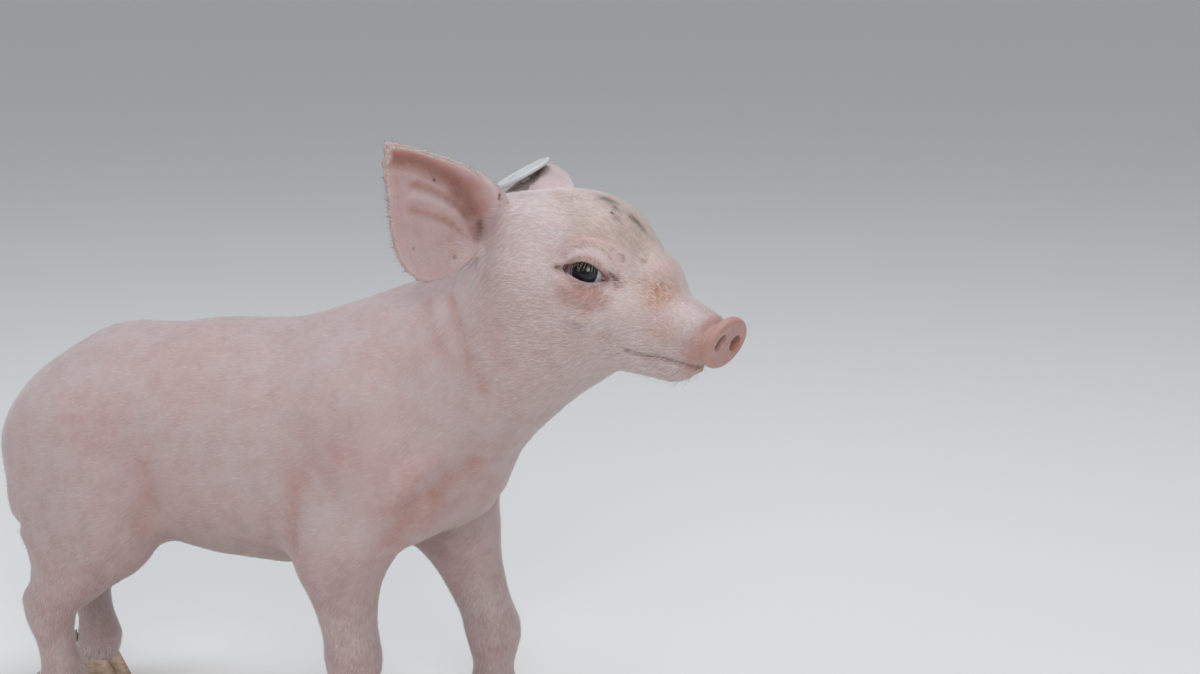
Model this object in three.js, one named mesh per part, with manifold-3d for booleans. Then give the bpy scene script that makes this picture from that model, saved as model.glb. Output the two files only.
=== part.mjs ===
// A young pig standing with its head up, life size, as separate solids that meet at narrow gaps.
// Millimetres: X runs forward along the trunk, Y to the animal's left and Z up from the floor.
import * as THREE from "three";
import { mergeVertices } from "three/addons/utils/BufferGeometryUtils.js";
import Module from "manifold-3d";

const wasm = await Module();
wasm.setup();

const GAP = 0.3; // between solids that touch
const point = (x, y, z) => new THREE.Vector3(x, y, z);
const { degToRad: radians, lerp, clamp } = THREE.MathUtils;

// ---- driving sizes ----

const TRUNK = {
  backHeight: 192, // top of the loin above the floor
  depth: 107, // loin to belly
  rumpX: -130, // the rearmost point
  breastX: 120, // the foremost point of the brisket
  slim: 0.84, // width of the trunk for each millimetre of depth
};
const HEAD = {
  at: point(174, -10, 226), // midway between the eyes
  yaw: -17, // turned to the right
  pitch: 22, // nose down
  roll: -11, // right side up
  eyeSpan: 52, // between the fronts of the two eyes
  discAt: point(60, 0, -1), // centre of the snout's flat end, in the head's own frame
};
const EYE = { radius: 8, lid: 1.3, opening: 20.5, height: 10, floor: 4.2 };
const EAR = { length: 68, thickness: 2.6, cup: 15, tipLift: 5 };
const SNOUT = { width: 28, height: 25, thickness: 6, tilt: 2 };
const TAG = { radius: 14, stud: 4.4, spot: point(0.47, 0.17, 0), pin: point(-0.39, 0.2, 0.9) }; // the pin's way in the ear's frame
const HOOF = { height: 13, length: 22, width: 10.6, cleft: 1, slope: 4.5 };
const TAIL = { root: 4.6, tip: 1.9 };

const SKIN = { color: 0xd8a9a0, roughness: 0.6 };
const EAR_SKIN = { color: 0xd79a94, roughness: 0.55 };
const SNOUT_SKIN = { color: 0xc98a80, roughness: 0.45 };
const HORN = { color: 0xb59a86, roughness: 0.5 };
const CORNEA = { color: 0x14161c, roughness: 0.08 };
const TAG_PLASTIC = { color: 0xe9ebe8, roughness: 0.4 };

// ---- flesh as a field of rounded masses ----

// A mass swells from one ball to another. wide stretches it across Y, and blend is how softly it joins the others.
function mass(from, to, startRadius, endRadius, { wide = 1, blend = 12 } = {}) {
  return { from, along: to.clone().sub(from), startRadius, endRadius, wide, blend };
}

function massDistance(m, x, y, z) {
  const px = x - m.from.x;
  const py = (y - m.from.y) / m.wide;
  const pz = z - m.from.z;
  const { x: ax, z: az } = m.along;
  const ay = m.along.y / m.wide;
  const share = (px * ax + py * ay + pz * az) / (ax * ax + ay * ay + az * az || 1);
  const t = clamp(share, 0, 1);
  const away = Math.hypot(px - ax * t, py - ay * t, pz - az * t);
  return (away - lerp(m.startRadius, m.endRadius, t)) * Math.min(1, m.wide);
}

function softMinimum(a, b, blend) {
  const h = Math.max(blend - Math.abs(a - b), 0) / blend;
  return Math.min(a, b) - (h * h * blend) / 4;
}

// The signed distance to a group of masses, below zero inside. frame turns masses that are given in a frame of their own.
function flesh(masses, frame = new THREE.Matrix4()) {
  const inverse = frame.clone().invert();
  const local = point(0, 0, 0);
  return (x, y, z) => {
    local.set(x, y, z).applyMatrix4(inverse);
    return masses.reduce((d, m) => softMinimum(d, massDistance(m, local.x, local.y, local.z), m.blend), 1e3);
  };
}

const joined = (fields, blend) => (x, y, z) => fields.map((f) => f(x, y, z)).reduce((a, b) => softMinimum(a, b, blend));

// How far a ray from a start inside a field travels before it leaves the field, swollen by a margin, up to a limit.
function depthInside(field, start, direction, swell, limit) {
  const shortest = 0.15;
  const distance = (far) =>
    field(start.x + direction.x * far, start.y + direction.y * far, start.z + direction.z * far) - swell;
  let inside = 0;
  let outside = 0;
  for (let d = distance(0); d < 0; d = distance(outside)) {
    if (outside >= limit) return limit;
    inside = outside;
    outside += Math.max(-d * 0.8, shortest);
  }
  for (let halving = 0; halving < 14; halving++) {
    const middle = (inside + outside) / 2;
    if (distance(middle) < 0) inside = middle;
    else outside = middle;
  }
  return Math.min(outside, limit);
}

// ---- meshes and solids ----

// A geometry with nothing but merged positions.
function bare(geometry) {
  const plain = geometry.clone();
  plain.deleteAttribute("normal");
  plain.deleteAttribute("uv");
  return mergeVertices(plain, 1e-4);
}

function solid(geometry) {
  const mesh = bare(geometry);
  const vertProperties = mesh.getAttribute("position").array;
  return new wasm.Manifold(new wasm.Mesh({ numProp: 3, vertProperties, triVerts: new Uint32Array(mesh.index.array) }));
}

const placed = (geometry, matrix) => geometry.clone().applyMatrix4(matrix);

// A capsule's mesh laid along a curve. reach(start, direction, t) says how far each vertex stands from the curve.
function sleeve(curve, side, { around, along, caps }, reach) {
  const mesh = bare(new THREE.CapsuleGeometry(1, 2, caps, around, along));
  const position = mesh.getAttribute("position");
  const vertex = point(0, 0, 0);
  for (let i = 0; i < position.count; i++) {
    vertex.fromBufferAttribute(position, i);
    const onAxis = clamp(vertex.y, -1, 1);
    const t = (onAxis + 1) / 2;
    const start = curve.getPoint(t);
    const ahead = curve.getTangent(t);
    const across = side.clone().addScaledVector(ahead, -side.dot(ahead)).normalize();
    const third = across.clone().cross(ahead);
    const direction = across
      .multiplyScalar(vertex.x)
      .addScaledVector(ahead, vertex.y - onAxis)
      .addScaledVector(third, vertex.z)
      .normalize();
    start.addScaledVector(direction, reach(start, direction, t));
    position.setXYZ(i, start.x, start.y, start.z);
  }
  return mesh;
}

function wrapped(field, { axis, side, counts, limit }, swell = 0) {
  return solid(sleeve(axis, side, counts, (start, way) => depthInside(field, start, way, swell, limit + swell)));
}

const lathe = (profile, turns) => new THREE.LatheGeometry(profile.map(([r, h]) => new THREE.Vector2(r, h)), turns);

// Everything past a plane, as a block that starts half a gap short of it.
function past({ at, way }) {
  const size = 600;
  const block = new THREE.BoxGeometry(size, size, size).translate(0, 0, size / 2 - GAP / 2);
  const turn = new THREE.Quaternion().setFromUnitVectors(point(0, 0, 1), way.clone().normalize());
  return solid(placed(block, new THREE.Matrix4().compose(at, turn, point(1, 1, 1))));
}
const before = ({ at, way }) => past({ at, way: way.clone().negate() });

const pig = new THREE.Group();

function addNode(name, made, material) {
  const whole = made.decompose().reduce((a, b) => (b.volume() > a.volume() ? b : a));
  const { vertProperties, triVerts } = whole.getMesh();
  const geometry = new THREE.BufferGeometry();
  geometry.setAttribute("position", new THREE.BufferAttribute(vertProperties, 3));
  geometry.setIndex(new THREE.BufferAttribute(triVerts, 1));
  geometry.computeVertexNormals();
  const mesh = new THREE.Mesh(geometry, new THREE.MeshStandardMaterial({ metalness: 0, ...material }));
  mesh.name = name;
  pig.add(mesh);
}

// ---- frames ----

const headFrame = new THREE.Matrix4().compose(
  HEAD.at,
  new THREE.Quaternion().setFromEuler(
    new THREE.Euler(radians(HEAD.roll), radians(HEAD.pitch), radians(HEAD.yaw), "ZYX"),
  ),
  point(1, 1, 1),
);
const onHead = (x, y, z) => point(x, y, z).applyMatrix4(headFrame);
const headWay = (x, y, z) => point(x, y, z).transformDirection(headFrame);
const leftward = point(0, 1, 0);

// ---- masses of the trunk, neck and head ----

const { backHeight, depth, rumpX, breastX, slim } = TRUNK;
const barrel = depth / 2;
const middleHeight = backHeight - barrel;

const trunkMasses = [
  mass(point(34, 0, middleHeight + 1), point(-12, 0, middleHeight), barrel + 1.5, barrel, { wide: slim }),
  mass(point(10, 0, middleHeight - 1), point(-58, 0, middleHeight), barrel - 2, barrel - 5, { wide: slim + 0.04 }),
  mass(point(-64, 0, middleHeight - 1), point(rumpX + 44, 0, middleHeight - 9), 47, 43, { wide: slim + 0.04 }),
  mass(point(52, 0, 164), point(74, 0, 172), 34, 35, { wide: slim + 0.04, blend: 18 }), // withers
  mass(point(70, 0, 141), point(breastX - 30, 0, 134), 36, 29.5, { blend: 16 }), // brisket
];
for (const side of [-1, 1])
  trunkMasses.push(
    mass(point(62, side * 27, 160), point(84, side * 28, 126), 20, 18, { blend: 16 }), // shoulder blade
    mass(point(84, side * 28, 126), point(62, side * 30, 106), 17, 17), // upper arm
    mass(point(-84, side * 18, 140), point(-72, side * 26, 112), 28, 24, { blend: 16 }), // thigh
    mass(point(-98, side * 18, 128), point(-100, side * 24, 106), 24, 19, { blend: 14 }), // ham
  );

const neckMasses = [
  mass(point(72, 0, 162), point(134, -2, 210), 42, 32, { wide: 0.9, blend: 18 }),
  mass(point(100, 0, 158), point(148, -4, 196), 27, 24, { wide: 1.05, blend: 14 }), // throat
];

const headMasses = [
  mass(point(-34, 0, -9), point(-10, 0, -4), 27, 26, { wide: 1.08, blend: 10 }), // braincase
  mass(point(-6, 0, 0), point(12, 0, -2.5), 21, 15, { wide: 1.1, blend: 8 }), // forehead
  mass(point(-30, 0, -4), point(-10, 0, 5), 24.5, 21.5, { wide: 0.95, blend: 6 }), // crown
  mass(point(-10, 0, 5), point(14.5, 0, 1), 21.5, 15.5, { wide: 0.95, blend: 5 }), // front of the forehead
  mass(point(10, 0, -5.5), point(50, 0, -3.5), 15, 11.4, { wide: 1.12, blend: 10 }), // bridge and muzzle
  mass(point(6, 0, -12), point(46, 0, -8), 16, 11.5, { wide: 1.04, blend: 8 }), // upper lips
  mass(point(-8, 0, -26), point(44, 0, -20), 18, 8.2, { wide: 0.95, blend: 8 }), // lower jaw
  mass(point(-30, 0, -28), point(-12, 0, -30), 27, 21, { blend: 14 }), // throat
];
for (const side of [-1, 1])
  headMasses.push(
    mass(point(-22, side * 15, -20), point(2, side * 13, -21), 19, 14), // cheek
    mass(point(-8, side * 16, 9), point(6, side * 15, 6), 9, 8, { blend: 8 }), // brow
    mass(point(-4, side * 19, -9), point(14, side * 12, -10), 8, 7, { blend: 9 }), // cheekbone
    mass(point(-46, side * 20, -1), point(-36, side * 21, 0), 12, 12), // root of the ear
  );

const bodyField = joined([flesh([...trunkMasses, ...neckMasses]), flesh(headMasses, headFrame)], 14);

// ---- trunk, neck and head, each drawn round a straight axis and parted where they meet ----

const pieces = {
  trunk: {
    axis: new THREE.LineCurve3(point(rumpX + 48, 0, middleHeight - 4), point(64, 0, middleHeight + 6)),
    side: leftward,
    counts: { around: 32, along: 20, caps: 7 },
    limit: 95,
  },
  neck: {
    axis: new THREE.LineCurve3(point(82, 0, 160), onHead(-44, 0, -16)),
    side: leftward,
    counts: { around: 32, along: 9, caps: 4 },
    limit: 75,
  },
  skull: {
    axis: new THREE.LineCurve3(onHead(-34, 0, -9), onHead(44, 0, -9)),
    side: headWay(0, 1, 0),
    counts: { around: 36, along: 20, caps: 6 },
    limit: 66,
  },
};
for (const piece of Object.values(pieces)) {
  piece.made = wrapped(bodyField, piece);
  piece.swollen = wrapped(bodyField, piece, GAP);
}
const { trunk, neck, skull } = pieces;

const neckStart = { at: point(86, 0, 172), way: point(0.78, 0, 0.62) };
const neckEnd = { at: onHead(-40, 0, -22), way: headWay(0.76, 0, 0.65) };
let torso = trunk.made;
addNode("neck", neck.made.subtract(before(neckStart)).subtract(past(neckEnd)), SKIN);

// ---- eyes ----

// A frame at the eye's centre: its third axis looks out of the head on the right and into it on the left.
function eyeFrame(side) {
  const out = point(0.34, side * 0.92, 0.12).normalize();
  const centre = point(2, (side * HEAD.eyeSpan) / 2, 0).addScaledVector(out, -EYE.radius);
  const ahead = point(1, 0, 0.32);
  ahead.addScaledVector(out, -ahead.dot(out)).normalize();
  const up = out.clone().cross(ahead).multiplyScalar(-side).normalize();
  const third = ahead.clone().cross(up);
  return new THREE.Matrix4().makeBasis(ahead, up, third).setPosition(centre).premultiply(headFrame);
}

function lidOpening() {
  const half = EYE.opening / 2;
  const shape = new THREE.Shape();
  shape.moveTo(half, -1.4);
  shape.bezierCurveTo(half * 0.55, EYE.height * 0.62, -half * 0.55, EYE.height * 0.78, -half, 0);
  shape.bezierCurveTo(-half * 0.55, -EYE.height * 0.56, half * 0.4, -EYE.height * 0.66, half, -1.4);
  return shape;
}

const eyeball = (extra) => new THREE.SphereGeometry(EYE.radius + extra, 20, 12);
let head = skull.made.subtract(before(neckStart)).subtract(before(neckEnd));
for (const side of [-1, 1]) {
  const frame = eyeFrame(side);
  const reach = 24;
  const opening = new THREE.ExtrudeGeometry(lidOpening(), { depth: reach, bevelEnabled: false, curveSegments: 7 });
  opening.translate(0, 0, side < 0 ? EYE.floor : -EYE.floor - reach);
  head = head
    .add(solid(placed(eyeball(GAP + EYE.lid), frame)))
    .subtract(solid(placed(opening, frame)))
    .subtract(solid(placed(eyeball(GAP), frame)));
  addNode(side < 0 ? "eye_right" : "eye_left", solid(placed(eyeball(0), frame)), CORNEA);
}

// ---- snout ----

const snoutTurn = new THREE.Matrix4().makeRotationY(radians(SNOUT.tilt)).setPosition(HEAD.discAt);
const snoutFrame = headFrame.clone().multiply(snoutTurn);
const snoutBack = {
  at: point(-SNOUT.thickness / 2, 0, 0).applyMatrix4(snoutFrame),
  way: point(1, 0, 0).transformDirection(snoutFrame),
};
head = head.subtract(past(snoutBack));

function nostril(side) {
  const hole = new THREE.SphereGeometry(1, 12, 8).scale(8, 2.6, 3.6);
  hole.rotateX(side * 0.35).rotateZ(side * -0.12);
  return solid(placed(hole.translate(SNOUT.thickness / 2 - 0.5, side * 6, 0.6), snoutFrame));
}

// The flat end of the snout is a disc with a rolled rim and a slightly sunken face: shares of its radius and thickness.
const discProfile = [[0, -0.5], [0.86, -0.5], [0.97, -0.25], [1, 0.1], [0.96, 0.38], [0.86, 0.5], [0.72, 0.46], [0, 0.36]];
const discShape = lathe(discProfile.map(([r, t]) => [r, t * SNOUT.thickness]), 26)
  .rotateZ(-Math.PI / 2)
  .scale(1, SNOUT.width / 2, SNOUT.height / 2);
let disc = solid(placed(discShape, snoutFrame)).subtract(before(snoutBack));
for (const side of [-1, 1]) {
  disc = disc.subtract(nostril(side));
  head = head.subtract(nostril(side));
}
addNode("snout", disc, SNOUT_SKIN);

// ---- mouth ----

// A slit follows the lips from under the disc to the corners and leaves the middle of the jaw solid.
const slitWidth = 1.1;
const lipLine = new THREE.SplineCurve(
  [[66, -14], [56, -15], [44, -17.5], [34, -21.5], [26, -23]].map(([x, z]) => new THREE.Vector2(x, z)),
);
const upperLip = lipLine.getPoints(8);
const lowerLip = upperLip.map((p, i) => new THREE.Vector2(p.x - 0.2, p.y - slitWidth * Math.min(1, (8.4 - i) / 3)));
const slitShape = new THREE.Shape([...upperLip, ...lowerLip.reverse()]);
const slit = new THREE.ExtrudeGeometry(slitShape, { depth: 60, bevelEnabled: false })
  .rotateX(Math.PI / 2)
  .translate(0, 30, 0);
const jawCore = new THREE.SphereGeometry(1, 20, 12).scale(44, 9.5, 14).translate(8, 0, -18);
head = head.subtract(solid(placed(slit, headFrame)).subtract(solid(placed(jawCore, headFrame))));
addNode("head", head, SKIN);

// ---- ears ----

// The rim of an ear in its own plan, from the tip round by the lower edge: how far along it, and how far below its axis.
const earRim = new THREE.CatmullRomCurve3(
  [
    [1, 0.02],
    [0.83, 0.28],
    [0.67, 0.51],
    [0.52, 0.66],
    [0.36, 0.7],
    [0.2, 0.62],
    [0.02, 0.4],
    [-0.06, 0.1],
    [0.08, -0.05],
    [0.27, -0.08],
    [0.47, -0.09],
    [0.68, -0.06],
    [0.88, -0.03],
  ].map(([along, across]) => point(along, across, 0).multiplyScalar(EAR.length)),
  true,
);
const earMiddle = point(0.34, 0.3, 0).multiplyScalar(EAR.length);

// Height over the plan: a bowl, deepest near the head, whose rim lies flat but for the tip.
function earHeight({ x, y }) {
  const along = clamp(x / EAR.length, 0, 1);
  const fromMiddle = ((x - earMiddle.x) / 0.66) ** 2 + ((y - earMiddle.y) / 0.44) ** 2;
  const bowl = Math.max(0, 1 - fromMiddle / EAR.length ** 2);
  return EAR.tipLift * along ** 3 - EAR.cup * lerp(1, 0.3, along) * bowl;
}

// A thin closed shell: the rings of a flattened ball run from the middle of both faces out to the rim.
function earShell(swell = 0) {
  const ball = bare(new THREE.SphereGeometry(1, 24, 14));
  const position = ball.getAttribute("position");
  const vertex = point(0, 0, 0);
  const step = 0.5;
  const spread = 1 + swell / (EAR.length / 3);
  for (let i = 0; i < position.count; i++) {
    vertex.fromBufferAttribute(position, i);
    const face = Math.sign(vertex.y);
    const out = 1 - Math.asin(clamp(Math.abs(vertex.y), 0, 1)) / (Math.PI / 2);
    const rim = earRim.getPoint((Math.atan2(vertex.z, vertex.x) / (2 * Math.PI) + 1) % 1);
    const plan = earMiddle.clone().lerp(rim, out * spread);
    const height = earHeight(plan);
    const normal = point(
      (height - earHeight({ x: plan.x + step, y: plan.y })) / step,
      (height - earHeight({ x: plan.x, y: plan.y + step })) / step,
      1,
    ).normalize();
    const half = lerp(EAR.thickness, EAR.thickness * 0.6, plan.x / EAR.length) / 2 + swell;
    plan.setZ(height).addScaledVector(normal, face * half * Math.sqrt(1 - out ** 6));
    position.setXYZ(i, plan.x, plan.y, plan.z);
  }
  return ball;
}

// Where an ear starts, where it points and where its cup faces, given for the left side in the head's frame.
const EAR_SETS = {
  right: { side: -1, root: [-38, 30, 10.5], tip: [-0.62, 0.78, 0.1], face: [0.77, 0.59, 0.22] },
  left: { side: 1, root: [-44.8, 25.2, 10.2], tip: [-0.841, 0.537, 0.064], face: [0.457, 0.769, -0.447] },
};

function earFrame({ side, root, tip, face }) {
  const mirrored = ([x, y, z]) => point(x, side * y, z);
  const along = mirrored(tip).normalize();
  const facing = mirrored(face);
  facing.addScaledVector(along, -facing.dot(along)).normalize();
  const lower = facing.clone().cross(along).multiplyScalar(-side);
  return new THREE.Matrix4().makeBasis(along, lower, facing).setPosition(mirrored(root)).premultiply(headFrame);
}

function earSolid(set, swell) {
  const shell = placed(earShell(swell), earFrame(set));
  if (set.side < 0) shell.index.array.reverse();
  return solid(shell).subtract(skull.swollen).subtract(neck.swollen);
}
addNode("ear_right", earSolid(EAR_SETS.right), EAR_SKIN);
addNode("ear_left", earSolid(EAR_SETS.left), EAR_SKIN);

// ---- ear tag ----

// A round plate behind the left ear and a stud in front of it, on either side of one pin through the ear.
const tagSpot = TAG.spot.clone().multiplyScalar(EAR.length);
tagSpot.setZ(earHeight(tagSpot));
const tagTurn = new THREE.Quaternion().setFromUnitVectors(point(0, 0, 1), TAG.pin.clone().normalize());
const tagPlace = new THREE.Matrix4().makeRotationFromQuaternion(tagTurn).setPosition(tagSpot);
const tagFrame = earFrame(EAR_SETS.left).multiply(tagPlace);
const plateShape = lathe(
  [[0, -5.7], [TAG.radius - 0.5, -5.7], [TAG.radius, -5.2], [TAG.radius, -4.3], [TAG.radius - 0.5, -3.8], [3, -3.8], [2.4, -1], [0, -1]],
  24,
);
const studShape = lathe([[0, 1], [2.4, 1], [2.6, 2], [TAG.stud, 2.6], [TAG.stud, 7], [2.4, 8.4], [1.1, 10.6], [0, 11]], 16);
const swollenEar = earSolid(EAR_SETS.left, GAP);
for (const [name, shape] of [["tag_plate", plateShape], ["tag_stud", studShape]])
  addNode(name, solid(placed(shape.rotateX(Math.PI / 2).scale(1, -1, 1), tagFrame)).subtract(swollenEar), TAG_PLASTIC);

// ---- legs ----

const LEGS = [
  { name: "fore_right", side: -1, elbow: [52, 31, 100], knee: [58, 30, 50], foot: [57, 30, 22] },
  { name: "fore_left", side: 1, elbow: [80, 31, 102], knee: [100, 30, 50], foot: [100, 30, 22] },
  { name: "hind_right", side: -1, stifle: [-66, 31, 98], hock: [-99, 30, 56], foot: [-92, 30, 22] },
  { name: "hind_left", side: 1, stifle: [-80, 31, 98], hock: [-116, 30, 56], foot: [-110, 30, 22] },
];
const legTop = { at: point(0, 0, 82), way: point(0, 0, 1) };
const soleTop = { at: point(0, 0, HOOF.height), way: point(0, 0, 1) };

function foreMasses(top, elbow, knee, foot, sole) {
  return [
    mass(top, elbow, 15, 19.5, { wide: 0.86 }),
    mass(elbow, knee, 19.5, 11.2, { wide: 0.86 }),
    mass(knee, knee.clone().add(point(1, 0, -3)), 11.6, 11, { blend: 6 }),
    mass(knee, foot, 9.6, 9.2, { blend: 8 }),
    mass(foot, sole, 10, 10.6, { blend: 6 }),
  ];
}

function hindMasses(top, stifle, hock, foot, sole) {
  const heel = point(-5, 0, 5).add(hock);
  return [
    mass(top, stifle, 18, 23, { wide: 0.72 }),
    mass(point(-30, 0, 6).add(stifle), point(-24, 0, -14).add(stifle), 18, 14, { wide: 0.9 }), // ham
    mass(stifle, stifle.clone().lerp(hock, 0.6), 22, 13, { wide: 0.8 }),
    mass(stifle.clone().lerp(hock, 0.5), hock, 14, 9.6, { wide: 0.9, blend: 10 }),
    mass(hock, heel, 9.4, 7.4, { blend: 6 }),
    mass(hock, foot, 9.4, 9, { blend: 8 }),
    mass(foot, sole, 10, 10.6, { blend: 6 }),
  ];
}

// A claw is a flattened cylinder with a sloping front, narrow at the toe and straight along the cleft.
function claw(x, y, outward) {
  const horn = bare(new THREE.CylinderGeometry(1, 1, 1, 16, 2));
  const position = horn.getAttribute("position");
  for (let i = 0; i < position.count; i++) {
    const up = position.getY(i) + 0.5;
    const ahead = position.getX(i);
    const out = position.getZ(i);
    const toe = 1 - (ahead > 0 ? 0.35 * ahead * ahead : 0.1 * ahead * ahead);
    const wall = out * outward < 0 ? 0.8 : 1;
    const length = lerp(HOOF.length, HOOF.length * 0.74, up) / 2;
    const width = (lerp(HOOF.width, HOOF.width * 0.9, up) / 2) * toe * wall;
    position.setXYZ(i, x + 3 - up * HOOF.slope + ahead * length, y - out * width, up * (HOOF.height - GAP));
  }
  return solid(horn);
}

for (const { name, side, elbow, knee, stifle, hock, foot } of LEGS) {
  const at = ([x, y, z]) => point(x, side * y, z);
  const [upper, middle, low] = [at(elbow ?? stifle), at(knee ?? hock), at(foot)];
  const top = upper.clone().lerp(middle, -0.5).setY(side * 20);
  const sole = low.clone().setZ(HOOF.height - 4).add(point(3, 0, 0));
  const masses = (elbow ? foreMasses : hindMasses)(top, upper, middle, low, sole);
  const limbField = joined([bodyField, flesh(masses)], 8);
  const bone = new THREE.CatmullRomCurve3([top, upper, upper.clone().lerp(middle, 0.5), middle, low, sole]);
  const course = { axis: bone, side: leftward, counts: { around: 16, along: 22, caps: 3 }, limit: 32 };
  const limb = wrapped(limbField, course);
  const swollenLimb = wrapped(limbField, course, GAP);
  torso = torso.add(limb.subtract(before(legTop)));
  addNode(`leg_${name}`, limb.subtract(past(legTop)).subtract(before(soleTop)), SKIN);
  for (const [part, offset] of [["inner", -1], ["outer", 1]]) {
    const y = side * (foot[1] + (offset * (HOOF.width + HOOF.cleft)) / 2);
    addNode(`claw_${name}_${part}`, claw(low.x, y, side * offset), HORN);
    const spur = new THREE.SphereGeometry(1, 8, 6).scale(3.2, 2.9, 5).rotateY(0.5);
    spur.translate(low.x - 9, side * (foot[1] + offset * 5), foot[2] + 1);
    addNode(`dewclaw_${name}_${part}`, solid(spur).subtract(swollenLimb), HORN);
  }
}

addNode("torso", torso.subtract(past(neckStart)), SKIN);

// ---- tail ----

const tailCurve = new THREE.CatmullRomCurve3(
  [[14, 0, 150], [0, 1, 151], [-5, 6, 149], [-6, 14, 142], [-3, 20, 131], [0, 24, 119], [-2, 27, 108]].map(([x, y, z]) =>
    point(rumpX + x, y, z),
  ),
);
const tailThickness = (start, direction, t) => lerp(TAIL.root, TAIL.tip, t);
const tail = solid(sleeve(tailCurve, leftward, { around: 8, along: 14, caps: 2 }, tailThickness));
addNode("tail", tail.subtract(trunk.swollen), SKIN);

// The floor is at zero, under the middle of the animal.
const bounds = new THREE.Box3().setFromObject(pig);
pig.position.set(-(bounds.min.x + bounds.max.x) / 2, -(bounds.min.y + bounds.max.y) / 2, -bounds.min.z);

export default pig;
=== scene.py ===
import math

import bmesh
import bpy
import numpy as np
from mathutils import Matrix, Vector
from mathutils.bvhtree import BVHTree


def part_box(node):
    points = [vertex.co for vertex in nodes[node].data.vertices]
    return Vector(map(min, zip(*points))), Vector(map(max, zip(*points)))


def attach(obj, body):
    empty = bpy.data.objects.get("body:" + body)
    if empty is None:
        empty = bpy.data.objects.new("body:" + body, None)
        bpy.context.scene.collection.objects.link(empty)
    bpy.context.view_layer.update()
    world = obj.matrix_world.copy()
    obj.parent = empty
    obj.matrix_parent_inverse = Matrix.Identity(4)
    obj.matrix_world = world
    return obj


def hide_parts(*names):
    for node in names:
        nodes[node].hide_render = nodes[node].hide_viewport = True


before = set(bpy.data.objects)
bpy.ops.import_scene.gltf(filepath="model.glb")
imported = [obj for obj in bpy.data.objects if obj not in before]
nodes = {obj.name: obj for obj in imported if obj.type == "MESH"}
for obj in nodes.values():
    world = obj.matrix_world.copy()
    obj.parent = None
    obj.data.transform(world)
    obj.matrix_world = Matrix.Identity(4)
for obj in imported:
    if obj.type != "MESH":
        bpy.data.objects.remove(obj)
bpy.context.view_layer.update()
mm = 0.001
sides = {"right": -1, "left": 1}
print("frame loaded")

view = {
    "target": (163.4, 0.0, 195.8),  # in the solids' own mm
    "azimuth": 20.0,
    "elevation": 11.0,
    "distance": 1.0,
    "lens": 70.0,
    "sensor": 36.0,
    "nearest": 0.05,
}
stage = {
    "floorRadius": 16.0,
    "sweepRadius": 3.0,
    "wallHeight": 3.3,
    "floorColour": (0.8, 0.79, 0.77, 1.0),
    "floorRoughness": 0.85,
    "skyColour": (0.86, 0.9, 0.95, 1.0),
    "skyStrength": 0.45,
    "lampAim": (0.05, 0.0, 0.13),
}
# Where each lamp stands, in metres, its size in metres, watts and colour.
lamps = {
    "overheadLamp": {"at": (0.1, 0.1, 1.6), "size": 1.1, "power": 12.0, "colour": (0.9, 0.95, 1.0)},
    "frontLamp": {"at": (0.75, -1.5, 0.95), "size": 0.8, "power": 11.0, "colour": (1.0, 0.98, 0.96)},
    "sideLamp": {"at": (-1.3, -1.0, 0.8), "size": 0.9, "power": 3.0, "colour": (0.93, 0.96, 1.0)},
}


def viewVector(azimuth, elevation):
    turn, rise = math.radians(azimuth), math.radians(elevation)
    return Vector((math.sin(turn) * math.cos(rise), -math.cos(turn) * math.cos(rise), math.sin(rise)))


def aimed(thing, target):
    way = Vector(target) - thing.location
    thing.rotation_euler = way.to_track_quat("-Z", "Y").to_euler()
    return thing


def linked(name, data):
    made = bpy.data.objects.new(name, data)
    bpy.context.scene.collection.objects.link(made)
    return made


def spun(profile, steps, gap):
    # A profile of radius and height in metres, spun round the upright axis. Places closer than the gap are merged.
    shape = bmesh.new()
    line = [shape.verts.new((radius, 0, height)) for radius, height in profile]
    for first, second in zip(line[:-1], line[1:]):
        shape.edges.new((first, second))
    bmesh.ops.spin(
        shape, geom=shape.verts[:] + shape.edges[:], cent=(0, 0, 0), axis=(0, 0, 1),
        angle=2 * math.pi, steps=steps, use_merge=True, use_duplicate=False,
    )
    bmesh.ops.remove_doubles(shape, verts=shape.verts, dist=gap)
    bmesh.ops.recalc_face_normals(shape, faces=shape.faces)
    for face in shape.faces:
        face.smooth = True
    return shape


for lampName, lamp in lamps.items():
    light = bpy.data.lights.new(lampName, "AREA")
    light.shape = "DISK"
    light.size, light.energy, light.color = lamp["size"], lamp["power"], lamp["colour"]
    lightObject = linked(lampName, light)
    lightObject.location = lamp["at"]
    aimed(lightObject, stage["lampAim"])

sky = bpy.data.worlds.new("sky")
sky.use_nodes = True
sky.node_tree.nodes["Background"].inputs["Color"].default_value = stage["skyColour"]
sky.node_tree.nodes["Background"].inputs["Strength"].default_value = stage["skyStrength"]
bpy.context.scene.world = sky
bpy.context.scene.view_settings.view_transform = "Standard"

# The floor is a wide disc that sweeps up into a wall all round.
sweepSteps = 12
profile = [(0, 0), (stage["floorRadius"], 0)]
for step in range(1, sweepSteps + 1):
    turn = math.pi / 2 * step / sweepSteps
    reach, rise = math.sin(turn) * stage["sweepRadius"], (1 - math.cos(turn)) * stage["sweepRadius"]
    profile.append((stage["floorRadius"] + reach, rise))
profile.append((stage["floorRadius"] + stage["sweepRadius"], stage["wallHeight"]))
floorShape = spun(profile, 64, 1e-5)
floorMesh = bpy.data.meshes.new("floor")
floorShape.to_mesh(floorMesh)
floorShape.free()
floor = linked("floor", floorMesh)
floorMaterial = bpy.data.materials.new("floor")
floorMaterial.use_nodes = True
floorShader = floorMaterial.node_tree.nodes["Principled BSDF"].inputs
floorShader["Base Color"].default_value = stage["floorColour"]
floorShader["Roughness"].default_value = stage["floorRoughness"]
floorMesh.materials.append(floorMaterial)
print("stage set")


def middleOf(name):
    low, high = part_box(name)
    return (low + high) / 2


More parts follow.
